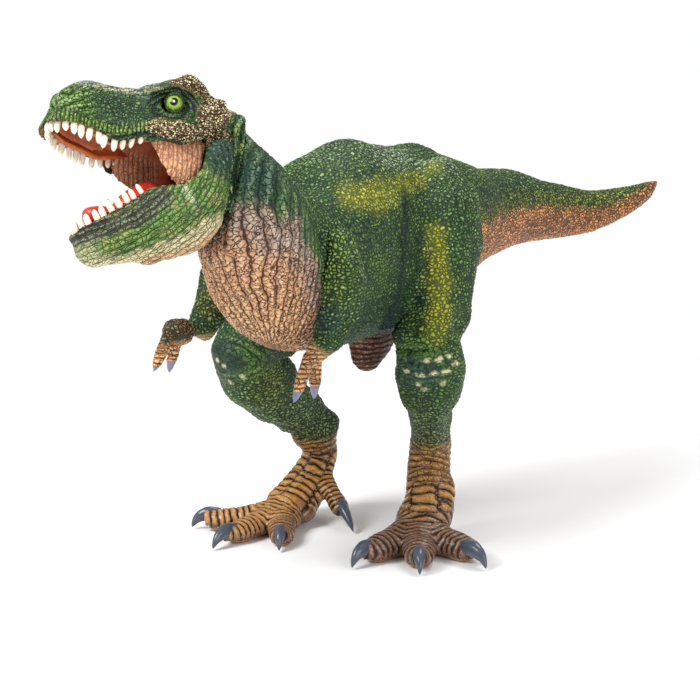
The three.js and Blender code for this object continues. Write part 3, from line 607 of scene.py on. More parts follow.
# %% Sculpting
def shape(mesh, matrix, rule):
    """Moves every point of a skin by a rule that is written in a map's millimetres."""
    at = rule(mapped(points_of(mesh), matrix))
    full = np.array(matrix)
    placed = (at @ full[:3, :3].T + full[:3, 3]) * MM
    mesh.vertices.foreach_set("co", placed.astype(np.float32).ravel())
    mesh.update()


def sculpt(mesh, matrix, pushes, grooves=(), mirrored=True):
    """A push is a place, its reach and a height; a groove is a line, its half width and a depth."""
    out = normals_of(mesh) @ np.array(matrix.to_3x3())

    def pushed(at):
        both = folded(at) if mirrored else at
        moved = np.zeros(len(at))
        for centre, reach, height in pushes:
            moved += height * blob(both, centre, reach, 0.0)
        for line, half, depth in grooves:
            moved -= depth * (1 - soft(along_chain(both, line)[0], 0, half))
        return at + out * moved[:, None]

    shape(mesh, matrix, pushed)


print("sculpting ready")

# %% [markdown]
# The trunk, tail and legs are one flowing surface on the real figure, because the glue lines are filled
# before painting. So one skin is grown over the four of them together, and only afterwards it is parted
# into one piece per moulding. Each point remembers which solid it lies on, as a soft weight.

# %% Body skin
left_chain = [(16, 5, 111), (20, 3, 88), (21, -1, 76), (23, -8, 66), (24, -13, 57), (23, -11, 48), (20, -6, 40),
              (17, -1, 33), (15, 3, 27), (16, -1, 19), (19, -7, 11), (20, -11, 5)]
right_chain = [(-16, 5, 110), (-18, 3, 99), (-21, -6, 86), (-24, -17, 74), (-28, -26, 64), (-30, -32, 56),
               (-30, -27, 49), (-28, -15, 41), (-25, -2, 33), (-23, 1, 27), (-23, 4, 19), (-25, -1, 11),
               (-26, -10, 5)]
left_ball, right_ball = (19, -12, 5), (-26, -14, 5)
toe_tips = {
    "left_inner": (left_ball, (14.7, -43.1, 0.6)), "left_middle": (left_ball, (34.7, -39.4, 0.6)),
    "left_outer": (left_ball, (48.2, -24.8, 0.6)), "right_inner": (right_ball, (-12.2, -39, 0.6)),
    "right_middle": (right_ball, (-30, -46.9, 0.6)), "right_outer": (right_ball, (-48.1, -30.5, 0.6)),
}
hallux = (Vector((-21.6, 0.8, 17)), Vector((-3, -11.6, 0.9)))
HUBS = ("torso", "tail", "left_leg", "right_leg")
body = grown("body", HUBS, voxel=1.15, smooth=8, finer=0)
trees = {}
for hub in HUBS:
    form = bmesh.new()
    form.from_mesh(frame["nodes"][hub].data)
    trees[hub] = BVHTree.FromBMesh(form)
    form.free()
near = np.array([[trees[hub].find_nearest(v.co)[3] for hub in HUBS] for v in body.data.vertices])
owner = near.argmin(1)
for index, hub in enumerate(HUBS):
    held = body.data.attributes.new("on_" + hub, "FLOAT", "POINT")
    held.data.foreach_set("value", (owner == index).astype(np.float32))
split = body.modifiers.new("finer", "SUBSURF")
split.levels = split.render_levels = 1
settled(body)
print("body", len(body.data.polygons), "faces")

# %% [markdown]
# The muscles come next: kneecap and calf, the notch over the knee, the heel, the humps of the back, the
# nape, and the deep line of the groin. The small lobe between the legs slides a little aside. Each toe
# ends where its claw will sit: the first share of its length is skin, as far up as a ceiling.

# %% Body forms
groin_line = [(18.2, -17, 105), (20.6, -22.6, 93), (20.2, -23.2, 84), (17.4, -22, 73.5), (14.2, -22, 67.5)]


def slid(at):
    """Slides the lobe aside, and draws the skin of each toe back from where its claw will sit."""
    at = at + blob(at, (2, -9, 55), (17, 16, 11), 0.5)[:, None] * np.array((-0.8, -0.5, 0))
    toes = [(np.array(root), np.array(tip), 0.80, 10.0) for root, tip in toe_tips.values()]
    for root, tip, share, ceiling in toes + [(np.array(hallux[0]), np.array(hallux[1]), 0.66, 14.0)]:
        way = tip - root
        length = np.linalg.norm(way)
        way = way / length
        along = (at - root) @ way
        aside = np.linalg.norm(at - root - along[:, None] * way, axis=1)
        beyond = np.clip(along - share * length, 0, None) * (1 - soft(aside, 4.5, 7)) * (at[:, 2] < ceiling)
        at = at - (0.78 * beyond)[:, None] * way
    return at


hips_map = Matrix.Translation(hips)
shape(body.data, hips_map, slid)
sculpt(body.data, hips_map, [
    ((15.5, -17, 64), (7, 8, 9), 3.6), ((16.5, -17.5, 52), (6, 8, 9), 1.9), ((17, -20, 42), (6, 8, 8), 3.2),
    ((31, -8, 66), (7, 7, 7), -2.2), ((27, 3, 61), (7, 7, 8), -2.6), ((27, 5, 72), (7, 8, 9), -1.8),
    ((29, -4, 60), (7, 8, 7), -2.2), ((26, 6, 80), (7, 8, 10), -1.8), ((25, -5, 40), (6, 8, 8), -2.2),
    ((13, -11, 17), (5, 7, 9), -1.2), ((28, -8, 11), (5, 7, 6), 1.4), ((-18, -14, 4), (7, 8, 5), 2.2),
    ((33, -12, 53), (5, 8, 8), 1.4),
    ((25.5, -21.5, 55), (6, 4, 5), 0.8), ((23, -12, 88), (6, 7, 17), 0.8), ((13, -5, 14), (5, 8, 10), -1.3),
    ((25, -1, 15), (5, 8, 10), 1.4), ((-33, -34, 46), (6, 7, 6), -1.0), ((-29, -19, 37), (6, 9, 8), 0.7),
    ((-28, -9, 29), (5, 8, 7), 1.6), ((-28, -3, 24), (6, 7, 6), 2.8), ((-19, 4, 30), (5, 6, 6), 1.8),
    ((-29, -12, 14), (6, 8, 7), -2.8), ((-22, -18, 57), (9, 10, 11), 2.4), ((-20, -14, 52), (8, 9, 10), 4.2),
    ((-21, -14, 64), (8, 9, 8), 2.0), ((1, -23, 118), (14, 14, 6), 2.2), ((1, 19, 114), (12, 12, 6), 1.6),
    ((1, 2, 117), (10, 6, 6), -0.5), ((-2, -54, 112), (12, 11, 8), -2.4), ((5, -70, 122), (10, 10, 8), -2.6),
    ((-6, -90, 88), (12, 10, 12), -1.6), ((3, 72, 97), (9, 28, 6), 0.8), ((9, 105, 90), (8, 24, 6), 0.6),
    ((3, 60, 76), (9, 20, 6), 0.8),
], [
    (groin_line, 3.2, 2.3), ([(16.5, -17, 60), (22, -22, 61.2), (29, -19, 61.6), (32, -12, 63)], 1.6, 1.0),
    ([(17, -17, 56.5), (22, -22.5, 57.4), (29, -20, 57)], 1.0, 0.5),
    ([(22.6, -54, 100), (24.4, -55.5, 92), (23.5, -56, 84)], 2.6, 0.8),
], mirrored=False)
print("body sculpted")

# %% [markdown]
# The body's masks come first. Each leg is measured from its own chain, so a fold can follow the limb
# wherever it bends. The neck and chest of the real figure hang in long folds that spread from the throat
# like the ribs of a fan, and the knees and the lobe crease across.

# %% Body pattern
coat = Coat(body.data, hips_map)
at = coat.at
x, y, z = at.T
held = np.empty(len(at), np.float32)
on = {}
for hub in HUBS:
    body.data.attributes["on_" + hub].data.foreach_get("value", held)
    on[hub] = held.copy()
_, way_left, angle_left = along_chain(at, left_chain)
_, way_right, angle_right = along_chain(at, right_chain)
slow = ripple(at, 30, 3)
quick = ripple(at, 9, 4)
fine = ripple(at, 2.4, 5)

fold_line = np.interp(z, [60, 70, 90, 104, 112, 126], [-49, -56, -65, -70, -80, -86])
in_folds = soft(fold_line - y + 2 * quick, -6, 4) * on["torso"]
staves = np.arctan2(x, -(y + 62)) * 8
coat.fold(in_folds, ringed(staves))
coat.deep = 1 + 0.5 * in_folds
knees = blob(at, (25, -20, 57), (12, 10, 9)) * on["left_leg"]
coat.fold(0.75 * knees, ringed(way_left / 1.9))
far_knee = blob(at, (-28, -35, 56), (13, 13, 10)) * on["right_leg"]
coat.fold(0.85 * far_knee, ringed(way_right / 2.2))
lobe = blob(at, (0, -11, 55), (14, 15, 9), 0.75) * on["torso"]
coat.fold(0.8 * lobe, ringed(z / 1.6))
print("folds on", int((coat.folds > 0.5).sum()), "points")

# %% [markdown]
# The lower legs are ringed. The ankle has close wrinkles, and below it the rings are broad scutes that
# stand in columns. On the toes the rings follow each toe, and the sides of the foot near the ground are
# pebbled. The soles stay flat.

# %% Rings of the feet
rings = np.zeros(len(at))
wrinkled = np.zeros(len(at))
for side, way, angle, low, high, columned, broad in (
        ("left_leg", way_left, angle_left, 25.5, 30.5, 18, 2.9),
        ("right_leg", way_right, angle_right, 23, 28, 21, 2.5)):
    shank = on[side] * (1 - soft(z + 0.8 * quick, low, high))
    columns = soft(columned - z, -2, 2)
    coat.grid = np.where((shank > 0)[:, None], ringed(way / np.where(z > columned, 1.9, broad), angle, columns),
                         coat.grid)
    rings = np.maximum(rings, shank)
    wrinkled = np.maximum(wrinkled, 0.8 * shank * soft(z, columned - 1, columned + 1))
toe_far = np.full(len(at), 99.0)
for root, tip in toe_tips.values():
    apart, way, _ = along_chain(at, [root, tip], (0, 0, 1))
    hit = (apart < toe_far) & (way > 8) & (z < 11)
    coat.grid = np.where(hit[:, None], ringed(way / 2.0), coat.grid)
    toe_far = np.where(hit, apart, toe_far)
hallux_far, hallux_way, _ = along_chain(at, hallux)
on_hallux = (hallux_far < 4) & (x > -19) & (on["right_leg"] > 0.5)
coat.grid = np.where(on_hallux[:, None], ringed(hallux_way / 1.7), coat.grid)
coat.rings = rings * soft(z, 0.6, 2.2) * (1 - wrinkled)
coat.scales *= 1 - rings
coat.folds = coat.folds * (1 - rings) + wrinkled
pebbled = np.clip(rings * (1 - soft(z, 1.2, 4.2)) * soft(z, 0.4, 1.6), 0, 1)
coat.rings *= 1 - 0.8 * pebbled
coat.rough = 0.7 * pebbled
print("rings on", int((coat.rings > 0.5).sum()), "points")

# %% [markdown]
# The airbrush starts with green and works from large areas to small ones. Each patch is one puff or one
# stroke, as it would be with a real airbrush. On back and flanks there are an olive patch, a mint saddle
# over the hips and a dark blue-green nape.

# %% Paint of the back and flanks
flank = folded(at)
coat.spray(LEAF, 0.25 + 0.3 * slow)
coat.spray(linear(158, 186, 118), np.ones(len(at)), "dry")
low_flank = soft(106 - z, 0, 12) * on["torso"] * soft(y, -70, -55)
coat.spray(DEEP, 0.4 * low_flank + 0.4 * low_flank * soft(84 - z, 0, 16))
coat.spray(linear(118, 148, 74), low_flank, "dry")
coat.spray(LEAF, 0.5 * blob(flank, (20, -42, 88), (12, 16, 14)))
coat.spray(MINT, 0.3 * blob(at, (0, -24, 117), (16, 24, 8)))
coat.spray(TEAL, 0.5 * blob(flank, (21, -60, 96), (9, 9, 8), 0.2))
patch_far, _, _ = along_chain(flank, [(15.2, -43, 107.4), (17, -34, 106.6), (16.9, -25, 107)])
hip_far, _, _ = along_chain(flank, [(16.9, -20, 108), (15.8, -6, 108.6), (18, 0, 112)])
patch = np.maximum(1 - soft(patch_far + 1.3 * quick, 1.5, 7.5), 0.85 * (1 - soft(hip_far + quick, 0.8, 5)))
coat.spray(OLIVE, 0.85 * patch)
coat.spray(linear(206, 210, 118), patch, "dry")
coat.spray(linear(78, 92, 30), 0.9 * patch, "wash")
saddle = np.maximum(blob(flank, (10, -10, 115.5), (12, 19, 7), 0.4), blob(flank, (17, 6, 112), (9, 14, 7), 0.4))
coat.spray(MINT, 0.85 * saddle * (1 - 0.7 * patch))
coat.spray(linear(184, 198, 168), 0.8 * saddle * (1 - patch), "dry")
neck = np.maximum(blob(flank, (13, -90, 117), (12, 14, 15), 0.35), blob(flank, (17, -78, 104), (9, 12, 10), 0.2))
coat.spray(DEEP, 0.85 * neck)
coat.spray(TEAL, 0.55 * neck * soft(quick, -0.6, 0.8))
coat.spray(linear(104, 124, 106), 0.9 * neck, "dry")
coat.spray(linear(34, 56, 48), 0.8 * blob(flank, (10, -74, 115), (16, 11, 8), 0.3))
coat.spray(LEAF, 0.6 * blob(flank, (18, -72, 106), (6, 7, 7), 0.2))
print("back and flanks painted")

# %% [markdown]
# Throat and chest are tan over grey, up to an edge that climbs toward the jaw. The tail is tan below a
# yellow band, the belly is dark, and the lobe between the legs is brown.

# %% Paint of the chest, the tail and the belly
edge = np.interp(y, [-104, -93, -80, -72, -66, -59, -50], [114, 109, 104, 97, 90, 80, 64])
chest = soft(edge + 2.2 * quick - z, -5, 4) * soft(-46 + 2 * quick - y, -5, 5) * on["torso"]
coat.spray(LILAC, np.clip(1.3 * chest, 0, 1))
coat.spray(TAN, soft(edge + 2 * quick - z, 2, 14) * chest)
coat.spray(PEACH, 0.9 * blob(at, (3, -76, 75), (17, 18, 15), 0.2) * chest * soft(fine + quick, -1.4, 0.6))
coat.spray(linear(176, 132, 108), 0.5 * chest * soft(quick, 0.2, 1.2))
coat.spray(SEPIA, chest, "wash")
coat.spray(linear(232, 190, 146), chest, "dry")
coat.spray(linear(190, 176, 158), chest * soft(z - edge, -16, -4), "dry")

axis = np.interp(y, [0, 40, 60, 78, 97, 117, 133, 149], [90, 88, 87.8, 86.9, 83.8, 81.5, 83.8, 88.7])
above = z - axis + 0.8 * quick
behind = soft(y, 20, 34) * (on["torso"] + on["tail"])
under = soft(2.0 - above, -1.5, 3) * behind
coat.spray(linear(140, 144, 34), 0.75 * behind * np.exp(-((above - 3.6) / 3.4) ** 2) * soft(142 - y, 0, 20))
coat.spray(TEAL, 0.3 * behind * np.exp(-((above - 9) / 3) ** 2) * soft(100 - y, 0, 24))
coat.spray(LEAF, 0.4 * behind * soft(above, 9, 14))
coat.spray(linear(244, 166, 98), 0.96 * under)
coat.spray(BROWN, 0.5 * under * soft(slow + quick, -0.2, 1.2))
coat.spray(UMBER, under, "wash")
coat.spray(linear(214, 172, 132), under, "dry")
belly = soft(68 - z, 0, 8) * soft(y, -52, -38) * on["torso"]
coat.spray(linear(34, 62, 58), 0.7 * belly)
coat.spray(linear(120, 144, 130), 0.8 * blob(at, (12, -56, 68), (8, 6, 4), 0.2) * on["torso"])
coat.glaze(lobe, (100, 66, 54), (40, 24, 20), (190, 146, 122))
coat.spray(linear(164, 120, 98), 0.5 * lobe * soft(quick, 0.0, 1.2))
print("chest, tail and belly painted")

# %% [markdown]
# A blue shadow runs down the groin, and a yellow stripe with a paler rim down the left thigh. The far
# leg is patchy, with a dark knee.

# %% Paint of the thighs and knees
groin_far, _, _ = along_chain(flank, groin_line + [(12, -16, 64)])
groin = 1 - soft(groin_far + 0.5 * quick, 0.6, 3.6 + 3.5 * soft(80 - z, 0, 14))
coat.spray(linear(16, 34, 40), 0.95 * groin)
coat.spray(linear(44, 66, 68), 0.8 * groin, "dry")
stripe_far, _, _ = along_chain(at, [(23.4, -10.6, 91.5), (24.6, -11, 84), (26.6, -14, 73), (27.4, -17.5, 66)])
stripe = (1 - soft(stripe_far + 0.9 * quick, 1.8, 6)) * on["left_leg"]
coat.spray(OLIVE, 0.9 * stripe)
coat.spray(linear(192, 188, 84), stripe, "dry")
coat.spray(linear(70, 82, 24), 0.9 * stripe, "wash")
rim_far, _, _ = along_chain(at, [(20.8, -12, 92), (22, -13.5, 84), (23.6, -17, 74)])
rim = (1 - soft(rim_far + 0.6 * quick, 0.8, 3)) * on["left_leg"]
coat.spray(linear(160, 170, 92), 0.55 * rim)
coat.spray(linear(206, 208, 140), rim, "dry")
both_legs = on["left_leg"] + on["right_leg"]
coat.spray(LEAF, 0.6 * blob(at, (29, -6, 80), (6, 8, 18), 0.4) * on["left_leg"] * (1 - stripe))
coat.spray(linear(72, 106, 76), 0.4 * blob(at, (20, -17, 84), (5, 8, 20), 0.4) * on["left_leg"] * (1 - groin))
coat.spray(linear(116, 142, 94), 0.7 * soft(46 - z, 0, 8) * both_legs)
coat.spray(LEAF, 0.6 * blob(at, (24, -20, 64), (10, 9, 7)) * on["left_leg"])
coat.spray(DEEP, 0.75 * soft(y, -5, 3) * soft(98 - z, 0, 18) * both_legs * soft(z, 28, 44))
coat.spray(linear(136, 138, 42), 0.75 * blob(at, (-21.5, -28, 46), (8, 11, 10), 0.25) * on["right_leg"])
coat.spray(LEAF, 0.5 * blob(at, (-23, -30, 40), (10, 10, 10), 0.2) * on["right_leg"])
coat.spray(linear(34, 56, 48), 0.85 * blob(at, (-31, -40, 56), (10, 8, 11)) * on["right_leg"])
coat.spray(linear(70, 72, 40), 0.7 * blob(at, (-22, -22, 60), (10, 14, 8)) * on["right_leg"])
coat.spray(linear(44, 82, 76), 0.6 * blob(at, (23, -22, 54), (12, 9, 8)) * on["left_leg"])
coat.spray(linear(110, 134, 110), 0.9 * blob(at, (23, -20, 50), (14, 12, 12)) * on["left_leg"], "dry")
print("thighs and knees painted")

# %% [markdown]
# Small cream dots sit on both knees. Each has a place, a half width and a half height in millimetres.

# %% Dots on the knees
knee_dots = [
    ((27, -22, 58.4), 1.5, 0.9), ((29.9, -20, 58.6), 1.1, 0.9), ((25.3, -21.6, 54), 2.1, 1.1),
    ((31.3, -17.6, 55), 1.3, 0.8), ((28.6, -20.6, 54.6), 1.2, 0.7), ((23.4, -21.2, 50.9), 1.5, 0.8),
    ((30.3, -17.5, 51.3), 1.7, 0.8), ((25.4, -20.6, 49.2), 1.4, 0.7), ((20.5, -21, 54.4), 1.0, 0.8),
    ((31.8, -16.7, 59.4), 0.9, 0.7), ((33, -15, 57), 0.8, 0.8), ((-31, -39.4, 53.7), 1.4, 0.9),
    ((-33, -38.5, 55), 1.1, 0.9), ((-30.3, -37.4, 48.4), 1.5, 0.9), ((-25.7, -37.8, 50.6), 1.4, 0.9),
    ((-31, -39, 51), 1.3, 0.8)]
for place, wide, tall in knee_dots:
    dot = 1 - soft(reach_of(at, place, (wide, 1.6, tall)) + 0.35 * fine, 0.55, 1.0)
    coat.glaze(dot, (220, 212, 170), (150, 150, 110), (236, 230, 196))
print(len(knee_dots), "dots on the knees")

# %% [markdown]
# The lower legs turn ochre where the scutes begin. The left toes are dark brown, the right ones tan, and
# the scutes shine a little. Then the whole body is pressed with its relief.

# %% Lower legs and feet
left_low = on["left_leg"] * (1 - soft(z + 0.8 * quick, 27.5, 40))
right_low = on["right_leg"] * (1 - soft(z + 0.8 * quick, 25, 36))
coat.spray(linear(128, 136, 92), 0.75 * left_low)
coat.spray(linear(104, 108, 56), 0.6 * right_low)
left_scutes = on["left_leg"] * (1 - soft(z + 0.7 * quick, 25.5, 31))
right_scutes = on["right_leg"] * (1 - soft(z + 0.7 * quick, 22.5, 28))
scuted = np.clip(left_scutes + right_scutes, 0, 1)
coat.spray(OCHRE, scuted)
coat.spray(linear(96, 70, 48), 0.6 * scuted * soft(quick + slow, -0.4, 1.0) * soft(z, 12, 22))
coat.spray(linear(94, 66, 56), 0.9 * left_scutes * (1 - soft(z, 6, 15)))
coat.spray(linear(176, 128, 92), 0.6 * right_scutes * (1 - soft(z, 3, 9)))
coat.spray(linear(74, 52, 48), 0.75 * right_scutes * soft(x, -25, -16) * (1 - soft(z, 5, 13)))
coat.spray(linear(196, 140, 100), 0.8 * scuted * (1 - soft(z, 1.4, 3.6)))
coat.spray(linear(34, 19, 14), scuted, "wash")
coat.spray(linear(206, 160, 98), scuted, "dry")
coat.spray(linear(168, 132, 108), left_scutes * (1 - soft(z, 6, 14)), "dry")
coat.gloss -= 0.2 * scuted
coat.write()
embossed(body)
print("body embossed")

# %% [markdown]
# The one skin is parted into its mouldings. Its own shading normals are kept at the cuts, so the paint
# runs on without a seam, and every cut is closed with a face, as a moulding is a closed body.

# %% Mouldings of the body
def dress(piece, body_name, slot, *nodes, finish=None):
    """Gives a piece its paint and the body it rides on, and hides the solids it stands for; slot is not used."""
    piece.data.materials.clear()
    piece.data.materials.append(finish or skin_paint)
    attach(piece, body_name)
    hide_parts(*nodes)


def closed(form):
    """Caps every open rim of a parted skin."""
    rim = [edge for edge in form.edges if edge.is_boundary]
    caps = bmesh.ops.holes_fill(form, edges=rim, sides=0)["faces"]
    for cap in caps:
        cap.smooth = False
    bmesh.ops.triangulate(form, faces=caps)


def part_skin(whole, labels, names):
    """Parts a mesh of quads by a label for every face."""
    fused = normals_of(whole.data)
    kept = whole.data.attributes.new("fused", "FLOAT_VECTOR", "POINT")
    kept.data.foreach_set("vector", fused.astype(np.float32).ravel())
    marks = whole.data.attributes.new("label", "INT", "FACE")
    marks.data.foreach_set("value", labels.astype(np.int32))
    pieces = []
    for index, name in enumerate(names):
        form = bmesh.new()
        form.from_mesh(whole.data)
        layer = form.faces.layers.int["label"]
        bmesh.ops.delete(form, geom=[f for f in form.faces if f[layer] != index], context="FACES")
        closed(form)
        mesh = mesh_from(name, form)
        vectors = np.empty(len(mesh.vertices) * 3, np.float32)
        mesh.attributes["fused"].data.foreach_get("vector", vectors)
        mesh.normals_split_custom_set_from_vertices(vectors.reshape(-1, 3).tolist())
        for spent in ("fused", "label"):
            mesh.attributes.remove(mesh.attributes[spent])
        pieces.append(linked(name, mesh))
        print(name, len(mesh.polygons), "faces")
    bpy.data.objects.remove(whole)
    return pieces


corners = np.empty(len(body.data.loops), np.int32)
body.data.loops.foreach_get("vertex_index", corners)
weights = np.stack([on[hub][corners.reshape(-1, 4)].sum(1) for hub in HUBS], 1)
for piece, hub in zip(part_skin(body, weights.argmax(1), ["skin_" + hub for hub in HUBS]), HUBS):
    dress(piece, "figure", "limb" if "leg" in hub else "skin", hub)

# %% [markdown]
# The arms hang free, so each has a skin of its own with a finer mesh, because the fingers are thin.

# %% Arms
def hand(coat, wrist_z, tip_z, lean=0.0):
    """Tan fingers with brown rings and lavender claws below the wrist."""
    z = coat.at[:, 2] + 0.4 * ripple(coat.at, 6, 9)
    bare = soft(wrist_z - z - lean * (coat.at[:, 0] - 19), -2, 2.5)
    claw = soft(tip_z - z, -0.35, 0.35)
    coat.fold(bare * (1 - claw), ringed(coat.at[:, 2] / 1.25))
    coat.scales *= 1 - bare
    coat.deep = 1 - 0.55 * bare - 0.4 * claw
    coat.glaze(bare, (198, 146, 100), (60, 32, 22), (232, 190, 140))
    coat.spray(linear(150, 96, 62), 0.5 * bare * soft(ripple(coat.at, 4, 10), 0.2, 1.2))
    coat.soak(linear(112, 114, 142), claw)
    coat.gloss -= 0.2 * claw


arm = grown("skin_left_arm", ["left_arm"], voxel=0.5, smooth=6)
sculpt(arm.data, hips_map, [((25, -61, 75), (6, 8, 9), -3.2), ((24, -58, 99), (7, 8, 7), -1.4),
                            ((24, -60, 84), (5, 7, 8), -0.8), ((27, -62, 68), (5, 8, 5), -1.6)], mirrored=False)
coat = Coat(arm.data, hips_map)
upper = blob(coat.at, (20, -63, 90), (13, 13, 17), 0.55)
coat.spray(linear(136, 166, 78), 0.92 * upper)
coat.spray(linear(30, 52, 30), 0.7 * upper, "wash")
coat.spray(linear(158, 186, 112), np.ones(len(upper)), "dry")
coat.spray(DEEP, 0.5 * soft(coat.at[:, 0], 22.5, 25))
coat.spray(linear(56, 88, 88), 0.8 * blob(coat.at, (18.7, -65.5, 77.7), (9, 9, 7)))
hand(coat, wrist_z=68.5, tip_z=57.6, lean=0.7)
coat.write()
dress(embossed(arm), "figure", "limb", "left_arm")

arm = grown("skin_right_arm", ["right_arm"], voxel=0.5, smooth=6)
sculpt(arm.data, hips_map, [((-25, -56, 92), (6, 9, 10), -1.0), ((-25, -64, 84), (7, 9, 14), -1.9)],
       mirrored=False)
coat = Coat(arm.data, hips_map)
coat.spray(linear(40, 60, 50), 0.8 * blob(coat.at, (-19, -56, 92), (12, 12, 11), 0.4))
coat.spray(linear(146, 142, 40), 0.85 * blob(coat.at, (-18, -60, 78), (12, 12, 8), 0.2))
coat.spray(linear(134, 86, 52), 0.9 * soft(-65 - coat.at[:, 1], 0, 5))
hand(coat, wrist_z=68, tip_z=62.6)
coat.write()
dress(embossed(arm), "figure", "limb", "right_arm")
print("arms painted")

# %% [markdown]
# The head's map has the hinge at the origin, so a brow, a cheek bone or a lip is a push at a place that
# is the same on both sides. The mouth has one more warp of its own: the lip rises before the cheek, and
# on the right side it hangs a little lower and ends in a tuck of skin. Skin, palate, teeth and gums all
# take the same warp, so they stay together.

# %% Head forms
def lipped(at):
    """Moves points of the upper mouth, in the head's map."""
    x, y, z = at.T
    rise = 1.7 * np.exp(-((y + 20) / 5.5) ** 2) * (1 - soft(z, 1, 8))
    hang = soft(-x, 1, 9) * (1.2 * soft(-y, 12, 22) + 1.4 * soft(-y, 28, 40)) * (1 - soft(z, 2, 9))
    corner = 4.6 * blob(at, (-13, -21, -2.6), (4.8, 4.6, 4.6), 0.2)
    return np.stack([x, y, z + rise - hang - corner], 1)


head = grown("skin_head", ["head"], voxel=0.55, smooth=5)
shape(head.data, head_map, lipped)
sculpt(head.data, head_map, [
    ((13.0, -10.5, 16.4), (4, 5, 3), 1.2), ((12.8, -7.6, 15.5), (3, 3, 3), 0.2),
    ((12.6, -4.4, 13.6), (4, 2.6, 4), -1.8), ((10.2, -20.5, 12.4), (4, 5, 3), 1.1),
    ((9.4, -24, 12), (4, 5, 3), 0.7), ((12.6, -1.2, 12.4), (3.4, 3, 3.4), 1.3),
    ((14.4, -0.5, 7), (3, 3, 5), 1.1), ((14.5, -5, 8), (4, 3.4, 6), 0.5), ((14.5, -13, 2.5), (4, 8, 3), 0.9),
    ((12.5, -14.3, 9.4), (5, 5.4, 5), -0.9), ((11, -26, 5), (5, 8.5, 4.5), -0.8),
    ((6, -41, 5.5), (2.2, 2.4, 1.8), -1.3), ((8.6, -27, 11.6), (3.4, 9, 3), 0.7),
    ((7.8, -35, 10), (4, 6, 3.4), 0.2),
    ((5.2, -41.4, 7.6), (4, 3, 3), 0.7), ((3.2, -44, 3), (5, 3.4, 4), -1.3), ((1.5, -44.6, 0), (5, 3, 3), -0.6),
    ((12.4, 3.4, 10.8), (4, 3.4, 3.4), -0.8), ((13, 6, 8), (4, 3, 4), -0.5), ((9.6, -35, 1.4), (3, 8, 2), 0.5),
    ((12.4, -19, 6.4), (2, 3, 5), -0.5),
])
print("head sculpted")

# %% [markdown]
# The head has a patch for everything: rough bone on brow, cheek and crown, wrinkled lids, upright ribs on
# the lip, folds on snout and nape, and scales in the oval between. `level` is the head before its lip was
# moved, so the lip can be told by height. The eye has an almond of lid skin round it. `cave` is the inside
# of the mouth.

# %% Head pattern
coat = Coat(head.data, head_map)
both = folded(coat.at)
x, y, z = both.T
level = np.stack([x, y, z - (lipped(coat.at) - coat.at)[:, 2]], 1)
slow = ripple(coat.at, 14, 21)
quick = ripple(coat.at, 4, 22)
fine = ripple(coat.at, 1.8, 23)
off = both - np.array((12.5, -14.25, 9.4))
almond = np.sqrt((off[:, 1] / 1.25) ** 2 + (off[:, 2] - 0.12 * off[:, 1]) ** 2 + (0.3 * off[:, 0]) ** 2)
bone = np.maximum.reduce([
    blob(both, (12, -9, 16.6), (7, 9, 4.2), 0.6), blob(both, (12, -2, 12), (7, 6, 6), 0.6),
    blob(both, (14.5, -3.8, 7), (5, 5, 7), 0.6), blob(both, (14, -13, 2.2), (5, 9.5, 3.2), 0.6),
    blob(both, (12, -1, 3), (5, 6, 4), 0.6), blob(both, (0, -8, 14), (12, 9, 5), 0.5)])
bone *= soft(almond + 0.4 * quick, 4.2, 5.6) * (1 - soft(y, 2.5, 4.5))
lip_far, lip_way, _ = along_chain(level, [(3, -44.5, 0.2), (8.4, -40.7, 0), (11.2, -30.6, -0.8), (11.7, -24, -1.0),
                                          (12.8, -18.5, 0)])
lip = (1 - soft(lip_far + 0.4 * quick, 1.2, 2.8)) * (1 - bone)
lids = (1 - soft(almond + 0.3 * quick, 4.4, 6.6)) * (1 - bone)
inward = soft(-np.sign(coat.at[:, 0]) * coat.out[:, 0], 0.0, 0.35) * soft(1.5 - level[:, 2], 0, 1)
inward *= soft(-6 - y, 0, 3) * (1 - soft(-coat.out[:, 1], 0.1, 0.4)) * (1 - soft(-y, 38, 41))
cave = soft(-0.6 - level[:, 2], 0, 0.8) * soft(-coat.out[:, 2], 0.2, 0.6) * soft(10.5 - x, 0, 1.5)
cave = np.maximum(cave, inward) * (1 - soft(-z, 9, 12) * soft(y, -4, -1))
front = soft(-31.5 - y + quick, 0, 5) * (1 - lip)
oval = blob(both, (11, -26, 5.6), (5, 8.6, 5), 0.75)
neck = soft(y, -1, 4) * (1 - bone)
coat.rough = bone
coat.fold(front, ringed((x * 0.5 - y * 0.6 + z * 0.5) / 1.5))
coat.fold(neck, ringed((y * 0.9 + x * 0.4) / 2.4))
coat.fold(0.9 * lip, ringed(lip_way / 1.05))
coat.fold(lids, ringed((almond + 0.5 * off[:, 2]) / 1.5))
between = np.clip(1 - oval - bone - lids - lip - front - neck, 0, 1) * soft(-12 - y, 0, 4)
coat.fold(0.6 * between, ringed((y * 0.4 - z) / 1.7))
coat.scales = np.clip(1 - bone - lids, 0, 1) * (1 - coat.folds)
coat.deep = 1 - 0.45 * np.maximum(lids, oval)
coat.grain = 1.35
print("head patterned,", len(both), "points")
